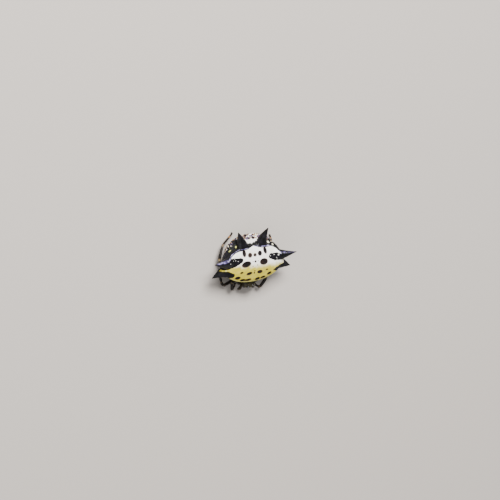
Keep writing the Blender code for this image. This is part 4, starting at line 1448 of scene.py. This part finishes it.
down_material = hair_material("pale_down", (0.040, 0.033, 0.013), (0.17, 0.145, 0.065))
hairs_on(front_body, "head_down", 1000,
         lambda points, normals: (points[:, 2] > 1.35) & (points[:, 1] < -1.4) & clear_of_eyes(points),
         (0.0, -0.9, 0.1), 0.07, 0.15, 0.005, down_material)
hairs_on(front_body, "breast_hairs", 160,
         lambda points, normals: (points[:, 2] < 0.85) & (normals[:, 2] < -0.3),
         (0.0, -0.5, -0.2), 0.08, 0.15, 0.006, bristle_material)
for piece, word in zip(palps, ("left", "right")):
    hairs_on(piece, "palp_bristles_" + word, 110, lambda points, normals: points[:, 1] < -3.9,
             (0.0, -0.3, -0.7), 0.10, 0.20, 0.007, bristle_material)
for piece, word in zip(jaws, ("left", "right")):
    hairs_on(piece, "jaw_hairs_" + word, 60,
             lambda points, normals: (points[:, 2] < 0.95) & (normals[:, 1] < 0.2),
             (0.0, -0.2, -0.8), 0.07, 0.14, 0.006, bristle_material)
hairs_on(spinnerets, "spinneret_hairs", 90, lambda points, normals: normals[:, 2] < 0.2,
         (0.0, 0.1, -0.8), 0.05, 0.10, 0.005, bristle_material)

# %% [markdown]
# ### Claws
# A foot ends in two claws. A claw is a short horn that curls down, so a round section is extruded
# and turned step by step, and made smaller each time.

# %% One claw
CLAW_RADIUS, CLAW_STEP, CLAW_SHRINK = 0.026, 0.030, 0.80
CLAW_STEPS = 6
CLAW_TURN = math.radians(15.0)
deselect_all()
bpy.ops.mesh.primitive_circle_add(vertices=8, radius=CLAW_RADIUS, fill_type="NGON",
                                  location=(0.0, 0.0, 0.0), rotation=(0.0, math.radians(90.0), 0.0))
claw = bpy.context.object
bpy.ops.object.transform_apply(location=True, rotation=True, scale=True)
bpy.ops.object.mode_set(mode="EDIT")
bpy.ops.mesh.select_all(action="SELECT")
place = Vector((0.0, 0.0, 0.0))
heading = Vector((1.0, 0.0, 0.25)).normalized()
for step in range(CLAW_STEPS):
    move = heading * CLAW_STEP
    bpy.ops.mesh.extrude_region_move(TRANSFORM_OT_translate={"value": move})
    place += move
    bpy.ops.transform.rotate(value=-CLAW_TURN, orient_axis="Y", center_override=place)
    bpy.ops.transform.resize(value=(CLAW_SHRINK, CLAW_SHRINK, CLAW_SHRINK), center_override=place)
    heading = Vector((heading.x * math.cos(CLAW_TURN) + heading.z * math.sin(CLAW_TURN), 0.0,
                      heading.z * math.cos(CLAW_TURN) - heading.x * math.sin(CLAW_TURN)))
bpy.ops.object.mode_set(mode="OBJECT")
turn_faces_out(claw)
claw_points, claw_faces = take_shape(claw)
print("claw reaches", np.round(claw_points.min(axis=0), 3), np.round(claw_points.max(axis=0), 3))

# %% Claws on the feet
CLAW_SPREAD = (-28.0, 28.0)
CLAW_HEIGHT = 0.085
# seen from above, the claws point away from the leg's place at this stage
AWAY_FROM_STAGE = 4.6
claw_paint = Paint("claw_horn", coat=0.5, coat_roughness=0.1)
claw_share = claw_paint.between(claw_paint.noise(0.05, 1.0), 0.4, 0.6)
claw_colour = claw_paint.mix(claw_share, (0.010, 0.007, 0.006), (0.05, 0.022, 0.010))
claw_material = claw_paint.finish(claw_colour, 0.25)
for name in LEGS:
    route, stages = leg_route(name)
    foot = route[-1]
    back = route[np.searchsorted(stages, AWAY_FROM_STAGE)] - foot
    outward = math.atan2(-back[1], -back[0])
    copies = []
    for spread in CLAW_SPREAD:
        turn = outward + math.radians(spread)
        x = claw_points[:, 0] * math.cos(turn) - claw_points[:, 1] * math.sin(turn)
        y = claw_points[:, 0] * math.sin(turn) + claw_points[:, 1] * math.cos(turn)
        copies.append(np.stack([foot[0] + x, foot[1] + y, claw_points[:, 2] + CLAW_HEIGHT], axis=1))
    claws = join_copies(name + "_claws", np.array(copies), claw_faces)
    finish_piece(claws)
    dress(claws, claw_material)
print("feet with claws:", len(LEGS))

# %% [markdown]
# ## Floor and light
# A plain pale floor and soft light from large lamps show the shape without hiding the colours. The
# main lamp stands high behind her, so that the dents and the ridge show.

# %% Floor
FLOOR_COLOUR = (0.42, 0.38, 0.34, 1.0)
deselect_all()
bpy.ops.mesh.primitive_plane_add(size=4.0)
floor = bpy.context.object
floor.name = "floor"
ground = Paint("pale_floor")
dress(floor, ground.finish(FLOOR_COLOUR, 0.9))
print("floor:", floor.dimensions.x, "m wide")

# %% Lamps and sky
SKY_COLOUR, SKY_STRENGTH = (0.92, 0.94, 1.0, 1.0), 0.36
# place and size in m, and power in W
LAMPS = (
    ("key", (-0.01, 0.19, 0.25), 0.12, 3.0),
    ("fill", (-0.26, -0.12, 0.24), 0.25, 0.42),
    ("front", (0.20, -0.26, 0.16), 0.25, 0.20),
)
for name, place, size, power in LAMPS:
    bpy.ops.object.light_add(type="AREA", location=place)
    lamp = bpy.context.object
    lamp.name = name
    lamp.data.size = size
    lamp.data.energy = power
    lamp.rotation_euler = (Vector(place) - plate_middle).to_track_quat("Z", "Y").to_euler()
world = bpy.data.worlds.new("soft_sky")
world.use_nodes = True
background = world.node_tree.nodes["Background"]
background.inputs["Color"].default_value = SKY_COLOUR
background.inputs["Strength"].default_value = SKY_STRENGTH
bpy.context.scene.world = world
print(len(LAMPS), "lamps")
